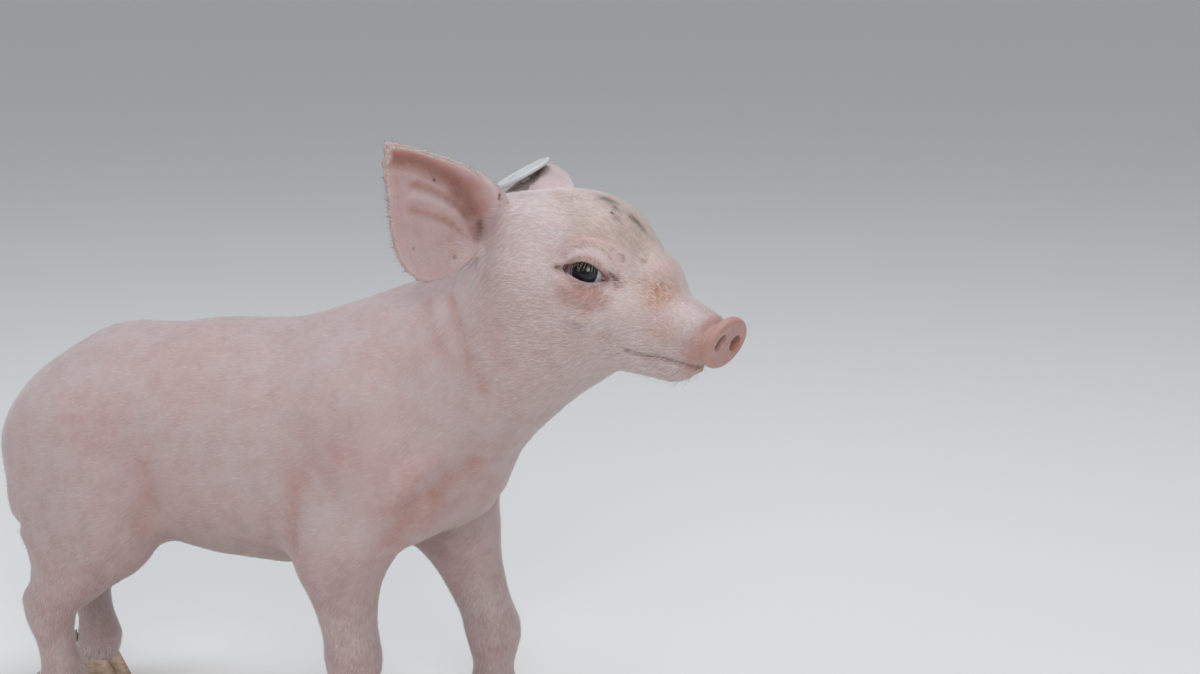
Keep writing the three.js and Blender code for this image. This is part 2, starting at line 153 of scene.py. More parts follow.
def normed(vector):
    return vector / np.linalg.norm(vector)


# The head has a frame of its own, found from the eyes and the snout.
eyeMiddle = (middleOf("eye_left") + middleOf("eye_right")) / 2
headLeft = (middleOf("eye_left") - middleOf("eye_right")).normalized()
headAhead = middleOf("snout") - eyeMiddle
headAhead = (headAhead - headAhead.dot(headLeft) * headLeft).normalized()
headUp = headAhead.cross(headLeft)
headTurn = np.array([headAhead, headLeft, headUp])  # rows are the head's own axes
headRoot = np.array(eyeMiddle) + 0.75 * mm * headTurn[0] + 0.97 * mm * headTurn[2]
headSpot = np.array([174.0, -10.0, 226.0])  # where the head's root is in the source, in mm
bodyShift = headRoot / mm - headSpot


def onHead(spots):
    return np.atleast_2d(np.array(spots, float)) * mm @ headTurn + headRoot


def onBody(spots):
    return (np.atleast_2d(np.array(spots, float)) + bodyShift) * mm


def headPlaces(points):
    return (points - headRoot) @ headTurn.T / mm


target = onBody(view["target"])[0]
camera = linked("camera", bpy.data.cameras.new("camera"))
camera.data.lens = view["lens"]
camera.data.sensor_width = view["sensor"]
camera.data.clip_start = view["nearest"]
camera.location = Vector(target) + view["distance"] * viewVector(view["azimuth"], view["elevation"])
aimed(camera, target)
bpy.context.scene.camera = camera
print("camera target", target)

# Both ears have one plan, but each has its own root, way to the tip and way that its bowl faces.
ears = {
    "length": 68.0,
    "cup": 15.0,
    "tipLift": 5.0,
    "right": {"root": (-38, 30, 10.5), "tip": (-0.62, 0.78, 0.1), "face": (0.77, 0.59, 0.22)},
    "left": {"root": (-44.8, 25.2, 10.2), "tip": (-0.841, 0.537, 0.064), "face": (0.457, 0.769, -0.447)},
}


def earAxes(which):
    mirror = np.array([1, sides[which], 1])
    along = normed(np.array(ears[which]["tip"]) * mirror)
    facing = np.array(ears[which]["face"]) * mirror
    facing = normed(facing - facing.dot(along) * along)
    lower = np.cross(facing, along) * -sides[which]
    return np.array([along, lower, facing]) @ headTurn, onHead(np.array(ears[which]["root"]) * mirror)[0]


def earBowl(along, across):
    length = ears["length"]
    share = np.clip(along / length, 0, 1)
    reach = ((along - 0.34 * length) / 0.66) ** 2 + ((across - 0.3 * length) / 0.44) ** 2
    bowl = np.clip(1 - reach / length**2, 0, 1)
    return ears["tipLift"] * share**3 - ears["cup"] * (1 - 0.7 * share) * bowl


def earPlaces(points, which):
    axes, root = earAxes(which)
    return (points - root) @ axes.T / mm


def onEar(which, spots, lift=0.0):
    axes, root = earAxes(which)
    spots = np.atleast_2d(np.array(spots, float)) * ears["length"]
    local = np.column_stack([spots, earBowl(spots[:, 0], spots[:, 1]) + lift])
    return local * mm @ axes + root


def eyeFrame(side):
    # Where the middle of an eyeball is on the head, in mm, and the eye's axes: ahead, up and out.
    out = normed(np.array([0.34, side * 0.92, 0.12]))
    ahead = np.array([1, 0, 0.32])
    ahead = normed(ahead - ahead.dot(out) * out)
    up = np.cross(out, ahead) * -side
    return np.array([-0.75, side * 18.55, -0.97]), np.array([ahead, up, out])


def eyePlaces(points, side):
    middle, axes = eyeFrame(side)
    return (headPlaces(points) - middle) @ axes.T


def fromEye(spots, side):
    middle, axes = eyeFrame(side)
    return onHead(np.atleast_2d(spots) @ axes + middle)


def eyeGap(local, side):
    return np.linalg.norm(local - eyeFrame(side)[0], axis=1)


def mergedCopy(names):
    shape = bmesh.new()
    for name in names:
        shape.from_mesh(nodes[name].data)
    bmesh.ops.remove_doubles(shape, verts=shape.verts, dist=1e-6)
    mesh = bpy.data.meshes.new("copy")
    shape.to_mesh(mesh)
    shape.free()
    return mesh


def gathered(items, key, width, kind):
    flat = np.empty(len(items) * width, kind)
    items.foreach_get(key, flat)
    return flat.reshape(-1, width)


def places(mesh):
    return gathered(mesh.vertices, "co", 3, float)


def setPlaces(mesh, points):
    mesh.vertices.foreach_set("co", np.ascontiguousarray(points, dtype=np.float32).ravel())
    mesh.update()


def normals(mesh):
    return gathered(mesh.vertex_normals, "vector", 3, np.float32).astype(float)


def triangles(mesh):
    mesh.calc_loop_triangles()
    return gathered(mesh.loop_triangles, "vertices", 3, np.int32)


def edgesOf(mesh):
    return gathered(mesh.edges, "vertices", 2, np.int32)


def treeOf(mesh):
    return BVHTree.FromPolygons(places(mesh).tolist(), triangles(mesh).tolist())


def averaged(values, edges, share, rounds):
    # Draws each value towards the middle of its neighbours' values, a share of the way each round.
    values = np.array(values, float)
    flat = values.ndim == 1
    values = values.reshape(len(values), -1)
    count = np.bincount(edges.ravel(), minlength=len(values))
    share = np.broadcast_to(share, len(values)) / np.maximum(count, 1)
    for _ in range(rounds):
        for axis in range(values.shape[1]):
            column = values[:, axis]
            total = np.bincount(edges[:, 0], column[edges[:, 1]], len(column))
            total += np.bincount(edges[:, 1], column[edges[:, 0]], len(column))
            values[:, axis] = column + share * (total - count * column)
    return values[:, 0] if flat else values


def applied(mesh, kind, weights=None, **settings):
    # The mesh with one modifier applied. Weights say how much of it each place takes.
    worker = linked("worker", mesh)
    if weights is not None:
        group = worker.vertex_groups.new(name="share")
        for level in np.unique(weights):
            group.add(np.nonzero(weights == level)[0].tolist(), float(level), "REPLACE")
        settings["vertex_group"] = "share"
    modifier = worker.modifiers.new("work", kind)
    for key, value in settings.items():
        setattr(modifier, key, value)
    graph = bpy.context.evaluated_depsgraph_get()
    made = bpy.data.meshes.new_from_object(worker.evaluated_get(graph))
    bpy.data.objects.remove(worker)
    bpy.data.meshes.remove(mesh)
    return made


def smoothFaces(mesh):
    mesh.polygons.foreach_set("use_smooth", np.ones(len(mesh.polygons), bool))


def soft(value):
    value = np.clip(value, 0, 1)
    return value * value * (3 - 2 * value)


def pathDistance(points, path):
    best = np.full(len(points), np.inf)
    for start, end in zip(path[:-1], path[1:]):
        along = end - start
        share = np.clip((points - start) @ along / along.dot(along), 0, 1)
        best = np.minimum(best, np.linalg.norm(points - start - share[:, None] * along, axis=1))
    return best


def rounded(path, steps=4):
    # A smooth line through a few places.
    path = np.asarray(path, float)
    ends = np.vstack([2 * path[0] - path[1], path, 2 * path[-1] - path[-2]])
    out = []
    for a, b, c, d in zip(ends[:-3], ends[1:-2], ends[2:-1], ends[3:]):
        for step in range(steps):
            t = step / steps
            square, cube = 2 * a - 5 * b + 4 * c - d, 3 * b - a - 3 * c + d
            out.append(0.5 * (2 * b + (c - a) * t + square * t**2 + cube * t**3))
    return np.array(out + [path[-1]])


def lineMask(spots, path, width, fade=0.0):
    # 1 on the line and 0 past its width, all in millimetres. With fade it dies away towards both ends.
    path = rounded(path)
    mask = np.zeros(len(spots))
    near = np.all((spots > path.min(0) - 1.5 * width) & (spots < path.max(0) + 1.5 * width), axis=1)
    if not near.any():
        return mask
    mask[near] = np.exp(-((pathDistance(spots[near], path) / (0.5 * width)) ** 2))
    if fade:
        ends = np.minimum(*(np.linalg.norm(spots[near] - path[end], axis=1) for end in (0, -1)))
        mask[near] *= soft(ends / fade)
    return mask


def spotMask(spots, spot, radius, edge=0.5):
    return soft((1 - np.linalg.norm((spots - np.asarray(spot)) / radius, axis=1)) / edge)


def connected(mesh):
    # Keeps only the largest joined surface.
    edges = edgesOf(mesh)
    label = np.arange(len(mesh.vertices))
    while True:
        low = np.minimum(label[edges[:, 0]], label[edges[:, 1]])
        lower = label.copy()
        np.minimum.at(lower, edges[:, 0], low)
        np.minimum.at(lower, edges[:, 1], low)
        lower = lower[lower]
        if (lower == label).all():
            break
        label = lower
    loose = np.nonzero(label != np.bincount(label).argmax())[0]
    if len(loose):
        shape = bmesh.new()
        shape.from_mesh(mesh)
        shape.verts.ensure_lookup_table()
        bmesh.ops.delete(shape, geom=[shape.verts[i] for i in loose], context="VERTS")
        shape.to_mesh(mesh)
        shape.free()
    return mesh


# One skin stands for every node of flesh: their merged copies swell, are remeshed as one, smoothed and drawn in.
fleshNodes = ["torso", "neck", "head", "snout", "ear_right", "ear_left", "tail"]
fleshNodes += [f"leg_{end}_{side}" for end in ("fore", "hind") for side in sides]
skin = {
    "bridge": 0.22,  # how far each solid swells to meet the next, in mm
    "earSwell": 0.9,  # thin ears swell more, so that none of their rim is lost
    "earInset": 0.7,
    "voxel": 0.7,
    "bodyRounds": 90,
    "detailRounds": 7,
    "coatDepth": 0.55,  # how far the skin lies inside the solids, in mm
    "triangles": 190000,
    "bodyShare": 0.25,  # how far the plain parts are thinned, against the fine ones
}
lipLine = [[66, -14], [56, -15], [44, -17.5], [34, -21.5], [26, -23]]


def earShare(points, which):
    # 1 on the flesh of an ear, 0 on the head and neck.
    plan = earPlaces(points, which)
    share = soft((plan[:, 0] - 1) / 8) * soft((77 - plan[:, 0]) / 4)
    return share * (np.abs(plan[:, 2] - earBowl(plan[:, 0], plan[:, 1])) < 6) * (np.abs(plan[:, 1] - 20) < 36)


def eitherEarShare(points):
    return np.maximum(earShare(points, "right"), earShare(points, "left"))


def detailShare(points):
    # 1 where the form is fine: round the eyes, the mouth, the snout, the ears, the tail and the feet.
    local = headPlaces(points)
    share = np.zeros(len(points))
    for side in sides.values():
        share = np.maximum(share, soft((17 - np.linalg.norm(local - [0, side * 24, 0], axis=1)) / 6))
    mouth = pathDistance(local[:, [0, 2]], np.array(lipLine, float))
    share = np.maximum(share, soft((6 - mouth) / 3) * (np.abs(local[:, 1]) < 30))
    share = np.maximum(share, soft((local[:, 0] - 48) / 5))
    for which in sides:
        share = np.maximum(share, 0.72 * earShare(points, which))
    share = np.maximum(share, 0.7 * soft((0.045 - points[:, 2]) / 0.02))
    fromTail = np.linalg.norm(points - np.array(middleOf("tail")), axis=1)
    return np.maximum(share, 0.8 * soft((0.028 - fromTail) / 0.01))


skinMesh = mergedCopy(fleshNodes)
points = places(skinMesh)
swell = (skin["bridge"] + skin["earSwell"] * eitherEarShare(points)) * mm
setPlaces(skinMesh, points + swell[:, None] * normals(skinMesh))
skinMesh = connected(applied(skinMesh, "REMESH", mode="VOXEL", voxel_size=skin["voxel"] * mm))
print("skin remeshed", len(skinMesh.vertices))

start = places(skinMesh)
skinEdges = edgesOf(skinMesh)
detail = averaged(detailShare(start), skinEdges, 0.5, 6)
points = averaged(start, skinEdges, 0.5, skin["detailRounds"])
points = averaged(points, skinEdges, 0.6 * (1 - detail), skin["bodyRounds"])
setPlaces(skinMesh, points)
facing = normals(skinMesh)
lost = averaged(((start - points) * facing).sum(1), skinEdges, 0.6, 40)  # what smoothing took off is put back
nearEyes = np.zeros(len(points))
for side in sides.values():
    nearEyes = np.maximum(nearEyes, soft((13 - eyeGap(headPlaces(points), side)) / 3))
nearClaws = soft((0.03 - points[:, 2]) / 0.01)
coatDepth = skin["coatDepth"] * (1 - np.maximum(nearEyes, nearClaws))
inset = (skin["bridge"] + coatDepth + skin["earInset"] * eitherEarShare(points)) * mm
setPlaces(skinMesh, points + (lost - inset)[:, None] * facing)
print("skin smoothed")

# Folds and ridges, each a line with its width and its height in mm. A negative height is a crease.
# Those of an eye are seen along it, those of an ear lie on its plan and those of the body are seen from its side.
eyeFolds = [
    ([[-11.5, 2.0], [-8, 8.0], [0, 11.2], [7, 9.2], [12.4, 1.8]], 1.5, -0.75),
    ([[-9.5, 2.5], [-5.5, 6.8], [0, 8.4], [6, 6.6], [10.5, 1.5]], 2.8, 0.4),
    ([[-15.5, 1.5], [-13, 8], [-6.5, 13.4], [2, 15.2], [10, 13.2]], 1.7, -0.65),
    ([[-13.5, 3.5], [-10, 10], [-3, 13.2], [5, 12.8], [11, 9.5]], 1.8, 0.35),
    ([[-9.5, -1.5], [-5, -6.6], [1, -8.2], [7, -6.4], [11, -2.4]], 1.5, -0.4),
    ([[-12, -3.0], [-6, -9.6], [1, -11.4], [8, -9.0], [12.5, -4]], 3.0, 0.4),
    ([[-14, -5.0], [-7, -13.2], [1, -15], [9, -12.0], [14, -6]], 2.0, -0.4),
    ([[-7, -10.8], [0, -12.9], [7, -10.4]], 1.2, -0.3),
    ([[-9, -16.4], [-1, -18.4], [7, -16.0], [13, -11.0]], 1.6, -0.35),
    ([[12, -1.2], [16, -2.6], [20, -3.2]], 1.5, -0.3),
    ([[-11, 0.4], [-14, 0.6], [-17, 0.2]], 1.4, -0.3),
]
rolledRim = [[0.97, 0.01], [0.86, -0.02], [0.7, -0.05], [0.5, -0.08], [0.34, -0.08], [0.2, -0.03], [0.1, 0.05]]
rolledRim += [[0, 0.14]]
underRim = [[0.9, 0.1], [0.83, 0.07], [0.69, 0.03], [0.55, 0.03], [0.42, 0.04], [0.31, 0.08], [0.22, 0.14]]
underRim += [[0.12, 0.22]]
earRidges = [
    (rolledRim, 5.0, 2.5),
    (underRim, 8.0, -2.6),
    ([[0.84, 0.14], [0.7, 0.125], [0.58, 0.115], [0.46, 0.12], [0.37, 0.14]], 3.2, 0.9),
    ([[0.72, 0.18], [0.6, 0.16], [0.5, 0.15], [0.36, 0.16], [0.26, 0.18], [0.17, 0.23]], 2.8, -0.9),
    ([[0.68, 0.24], [0.55, 0.215], [0.42, 0.2], [0.27, 0.22], [0.17, 0.26]], 4.0, 1.1),
    ([[0.64, 0.33], [0.55, 0.305], [0.44, 0.29], [0.31, 0.28], [0.2, 0.3], [0.13, 0.32]], 3.0, -0.9),
    ([[0.03, 0.26], [0.06, 0.33], [0.09, 0.4], [0.15, 0.46]], 6.0, 1.6),
    ([[0.25, 0.45], [0.2, 0.5], [0.19, 0.56]], 2.6, -0.9),
]
bodyFolds = [
    ([[103, 217], [112, 203], [116, 189], [126, 171]], 6.0, -1.0),
    ([[92, 214], [98, 201], [107, 187]], 6.5, -0.7),
    ([[121, 213], [127, 199], [135, 183]], 5.5, -0.7),
    ([[98, 209], [106, 197], [112, 183]], 7.0, 0.6),
    ([[112, 211], [120, 197], [126, 182]], 6.5, 0.5),
    ([[80, 102], [90, 119], [103, 133], [120, 146]], 9.0, -2.4),
    ([[74, 112], [86, 128], [98, 141], [112, 152]], 10.0, 1.3),
    ([[92, 104], [101, 119], [114, 133]], 9.0, 0.9),
    ([[38, 96], [35, 112], [38, 126], [46, 140]], 10.0, -2.4),
    ([[52, 98], [52, 116], [56, 132]], 15.0, 1.2),
    ([[57, 137], [65, 157], [69, 172]], 18.0, -1.3),
    ([[50, 142], [48, 160], [42, 178]], 20.0, 1.2),
    ([[86, 150], [92, 168], [92, 188]], 14.0, -1.2),
    ([[-46, 96], [-40, 108], [-36, 124], [-38, 140]], 12.0, -2.2),
    ([[-33, 94], [-28, 104], [-26, 118]], 9.0, 1.0),
    ([[-62, 106], [-60, 122], [-66, 140]], 18.0, 1.2),
    ([[-78, 92], [-84, 106], [-88, 120]], 12.0, -1.2),
    ([[-12, 112], [-8, 126], [-4, 142]], 13.0, -0.5),
    ([[6, 110], [10, 126], [14, 144]], 13.0, -0.5),
    ([[-2, 110], [2, 126], [6, 144]], 12.0, 0.4),
]
headFolds = [
    (lipLine, 1.7, -1.4),
    ([[64, -16.2], [54, -17], [44, -19.5], [35, -23.4]], 3.0, 0.5),
    ([[50.5, 13], [49.5, 4], [48.5, -6]], 1.6, -0.45),
    ([[47.0, 14], [46.0, 4], [45.5, -6]], 1.6, -0.3),
    ([[43.5, 14], [42.5, 5], [42.5, -4]], 1.6, -0.22),
    ([[26, -23], [22, -22.5], [18.5, -20.5]], 2.0, -0.5),
    ([[58, -10], [48, -11.5], [38, -15], [29, -19]], 4.0, 0.5),
]
# Soft swellings of the crown and the front of the forehead: where, how wide and how high in mm.
headSwells = [([-27, 0, 20], 22, 2.6), ([22, 0, 12], 16, 3.2)]
feet = {
    "places": ((57, -30), (100, 30), (-92, -30), (-110, 30)),
    "top": 25.0,  # where the coronet starts to narrow
    "clawTop": 12.5,
    "shift": -0.9,
    "length": 0.86,
    "cleft": 1.4,
    "drop": 1.3,  # how far the hem laps over the claws
}
tail = {"press": 0.76, "depth": 25.0, "fade": 20.0}  # how far its root is pressed to the rump, and over how many mm
eyes = {
    "radius": 8.0,
    "cornea": 0.5,
    "look": (0.2, 0.97, 0.06),
    "margin": 0.46,
    "corners": ((-10.25, 0.0), (10.25, -1.4)),
    "upperLid": 5.8,  # how far the lids' edges arch, in mm
    "lowerLid": 5.2,
    "upperClosing": 1.3,  # how far the lids slide over the eye from the socket's own edge, in mm
    "lowerClosing": 0.7,
    "pupil": (20, 26),  # where the pupil ends, in degrees from the look, and where the iris does
    "iris": (44, 48),
}
# The tag's place on the plan of the left ear, the way of its pin there, and its radius in mm.
tag = {"spot": (0.47, 0.17), "pin": (-0.39, 0.2, 0.9), "radius": 14.0}


def lidOpening(steps=12):
    # The edge of the lids, seen along the eye: the upper lid, then the lower one back to the start.
    corners = np.array(eyes["corners"])
    line = []
    for (start, end), rise in (((0, 1), eyes["upperLid"]), ((1, 0), -eyes["lowerLid"])):
        a, d = corners[start], corners[end]
        b, c = a + (d - a) * 0.22 + [0, rise], a + (d - a) * 0.78 + [0, rise]
        for step in range(steps):
            t = step / steps
            line.append((1 - t) ** 3 * a + 3 * (1 - t) ** 2 * t * b + 3 * (1 - t) * t**2 * c + t**3 * d)
    return np.array(line + line[:1])


def carve(points, facing):
    # How far each place moves, as a vector in mm.
    height = np.zeros(len(points))
    local = headPlaces(points)
    flat = (points / mm - bodyShift)[:, [0, 2]]
    offEars = 1 - eitherEarShare(points)
    for side in sides.values():
        spots = eyePlaces(points, side)
        reach = np.linalg.norm(spots, axis=1)
        outer = (spots[:, 2] > 0) * (reach < 30) * soft((reach - 8.6) / 0.8)
        for path, width, rise in eyeFolds:
            height += outer * rise * lineMask(spots[:, :2], path, width, fade=2.0)
        height += outer * 0.3 * lineMask(spots[:, :2], lidOpening(), 2.6)
        onSide = (points[:, 1] * side > 0) * offEars
        for path, width, rise in bodyFolds:
            height += onSide * rise * lineMask(flat, path, width, fade=width)
        for path, width, rise in headFolds:
            height += (local[:, 1] * side > 2) * rise * lineMask(local[:, [0, 2]], path, width, fade=1.5)
    for spot, radius, rise in headSwells:
        height += offEars * rise * spotMask(local, spot, radius, 1.0)
    moved = height[:, None] * facing
    for which in sides:
        plan = earPlaces(points, which)[:, :2]
        tagged = spotMask(plan, np.array(tag["spot"]) * ears["length"], 11, 0.6) if which == "left" else 0
        rise = np.zeros(len(points))
        for path, width, ridge in earRidges:
            rise += (1 - tagged) * ridge * lineMask(plan, np.array(path) * ears["length"], width, fade=6.0)
        moved += (earShare(points, which) * rise)[:, None] * earAxes(which)[0][2]
    return moved


def closed(points):
    # The lids slide over the eyes, turning about their middles.
    for side in sides.values():
        spots = eyePlaces(points, side)
        apart = np.hypot(spots[:, 1], spots[:, 2])
        turn = np.arctan2(spots[:, 1], spots[:, 2])
        near = soft((11.5 - np.abs(spots[:, 0])) / 6) * soft(spots[:, 2] / 3) * (np.linalg.norm(spots, axis=1) < 24)
        upper = near * (spots[:, 1] > 0) * soft((15 - spots[:, 1]) / 7)
        lower = near * (spots[:, 1] <= 0) * soft((14 + spots[:, 1]) / 7)
        turn += (eyes["lowerClosing"] * lower - eyes["upperClosing"] * upper) / 9
        moved = fromEye(np.column_stack([spots[:, 0], apart * np.sin(turn), apart * np.cos(turn)]), side)
        points = np.where((upper + lower > 0)[:, None], moved, points)
    return points


def pressed(points):
    # The root of the tail lies close to the rump. Below it the tail hangs free.
    low, high = (np.array(corner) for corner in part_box("tail"))
    rumpTree = treeOf(mergedCopy(["torso"]))
    share = tail["press"] * soft((points[:, 2] - high[2] + tail["depth"] * mm) / (tail["fade"] * mm))
    moved = np.zeros(points.shape)
    for index in np.nonzero(np.all((points > low - 2 * mm) & (points < high + 2 * mm), axis=1))[0]:
        nearest, out = rumpTree.find_nearest(Vector(points[index]))[:2]
        gap = Vector(points[index]) - nearest
        if gap.dot(out) > 0:
            moved[index] = -share[index] * np.array(gap)
    return moved


points = places(skinMesh)
points = points + mm * averaged(carve(points, normals(skinMesh)), skinEdges, 0.5, 2)
points = points + averaged(closed(points) - points, skinEdges, 0.5, 2)
points = points + averaged(pressed(points), skinEdges, 0.5, 8)
for foot in feet["places"]:  # the coronet narrows to the tops of the claws and laps over them
    spots = points / mm - bodyShift - [*foot, 0]
    near = (np.abs(spots[:, :2]).max(1) < 20) * (spots[:, 2] < 34)
    narrow = near * soft((feet["top"] - spots[:, 2]) / (feet["top"] - feet["clawTop"]))
    cleft = near * soft((26 - spots[:, 2]) / 8) * soft((2.6 - np.abs(spots[:, 1])) / 2.2)
    aim = feet["shift"] + feet["length"] * (spots[:, 0] - 3)
    aim -= feet["cleft"] * cleft * np.sign(spots[:, 0] - 3) * soft(np.abs(spots[:, 0] - 3) / 6)
    points[:, 0] += mm * narrow * (aim - spots[:, 0])
    points[:, 2] -= mm * near * feet["drop"] * soft((15.5 - spots[:, 2]) / 3)
setPlaces(skinMesh, points)
print("skin folded")

weights = np.round(np.maximum(skin["bodyShare"], averaged(detail, skinEdges, 0.5, 4)), 1)
skinMesh = applied(
    skinMesh, "DECIMATE", 1 - weights, ratio=skin["triangles"] / (2 * len(skinMesh.polygons)),
    vertex_group_factor=2.0, invert_vertex_group=False,
)
print("skin thinned", len(skinMesh.vertices), len(skinMesh.polygons))

skinPoints = places(skinMesh)
smoothFaces(skinMesh)
skinMesh.name = "skin"
skinPiece = linked("skin", skinMesh)
skinTree = treeOf(skinMesh)

# Marks on the body and on each side of the head. A spot is a colour, how strong it is, where it is, its radius
# in mm and its edge. A line is a colour, how strong it is, its path, its width in mm and its fade.
bodySpots = [
    # The first two spots darken the breast between the forelegs, and the last darkens the hollow behind the
    # shoulder: painted shade. The third is the ham's own pinker skin.
    ("dirt_and_shade", 0.8, [96, 124], 34, 1.0),
    ("flush", 0.5, [98, 126], 34, 1.0),
    ("flush", 0.35, [-62, 150], 30, 1.0),
    ("flush", 0.3, [57, 142], 22, 1.0),
]
# Body folds whose creases are darkened with painted shade: each gives a fold's index, a width in mm and a strength.
shadedCreases = ((5, 6.0, 0.6), (8, 6.0, 0.45), (13, 7.0, 0.35), (0, 3.6, 0.38), (1, 4.5, 0.25), (2, 4.0, 0.2))
scratches = ([[51, 171], [54, 181]], [[-12, 166], [-8, 170]], [[-20, 150], [-17, 158]], [[24, 168], [30, 172]])
cheekSpots = [
    ("stain", 0.85, [29, 11, 5], 14, 1.0),
    ("rust", 1.0, [28.5, 11, 6], 4.6, 0.8),
    ("rust", 0.3, [31, 9, 4], 11, 1.0),
    ("stain", 0.5, [40, 12, -8], 12, 1.0),
    ("stain", 0.5, [10.5, 25.6, -16.8], 5, 1.0),
]
eyeSpots = [
    ("rust", 0.45, [11, -25], 3.4, 0.9),
    ("rust", 0.9, [-1, -6.8], 1.7, 0.6),
    ("rust", 0.8, [-10.3, 0], 2.6, 0.8),
    ("rust", 0.8, [10.6, -1], 2.0, 0.8),
    ("cream", 0.25, [20, -9], 11, 1.0),
]
eyeMoles = [([8.4, 11.2], 1.1), ([13.8, 8.2], 1.8), ([22, 8.2], 1.0)]
eyeLines = [
    ("dark", 0.4, [[-4, -21.5], [0, -22.5], [4, -23.5]], 2.6, 3.0),
    # A paler band on the raised upper lid: painted highlight.
    ("lilac", 0.55, [[-8, 5], [-4, 7.2], [1, 8.2], [7, 6.6], [10, 3.5]], 3.4, 0.0),
    # Darker lines along three creases round the eye: painted shade.
    ("rust", 0.45, eyeFolds[0][0], 1.5, 2.0),
    ("rust", 0.4, eyeFolds[2][0], 1.5, 2.0),
    ("rust", 0.3, eyeFolds[6][0], 1.5, 2.0),
    ("flush", 0.6, [[-13, 3], [-9, 9], [-3, 12.8], [4, 13.5], [10, 12]], 3.4, 3.0),
    ("rust", 0.75, [[-9, 1.5], [-4, 5.4], [3, 5.2], [9, 0.5]], 1.8, 0.0),
    ("rust", 0.5, [[13.5, -1.8], [16.5, -1.3], [20, -0.7], [24, 0.9], [28, 1.2]], 2.8, 2.0),
]
crownSmudges = [
    ([[-16.5, -6.6], [-11, -5.6]], 4.2),
    ([[-9, -8.6], [-6.6, -8.0]], 2.3),
    ([[-4, -11.6], [-2.2, -11.0]], 1.8),
    ([[-1.4, -4.6], [5.2, -1.2]], 3.0),
]
# Moles on the ears: where on the plan, their radius in mm and how dark they are.
earMoles = [
    ((0.54, 0.09), 1.1, 0.75), ((0.13, 0.0), 1.0, 0.7), ((0.12, 0.02), 1.0, 0.6), ((0.09, 0.06), 0.9, 0.3),
    ((0.02, 0.19), 1.1, 0.4), ((0.19, 0.46), 1.1, 0.3), ((0.47, 0.52), 0.8, 0.4), ((0.73, 0.45), 0.8, 0.4),
]


def addMask(mesh, name, values):
    layer = mesh.attributes.new(name, "FLOAT", "POINT")
    layer.data.foreach_set("value", np.ascontiguousarray(values, dtype=np.float32))


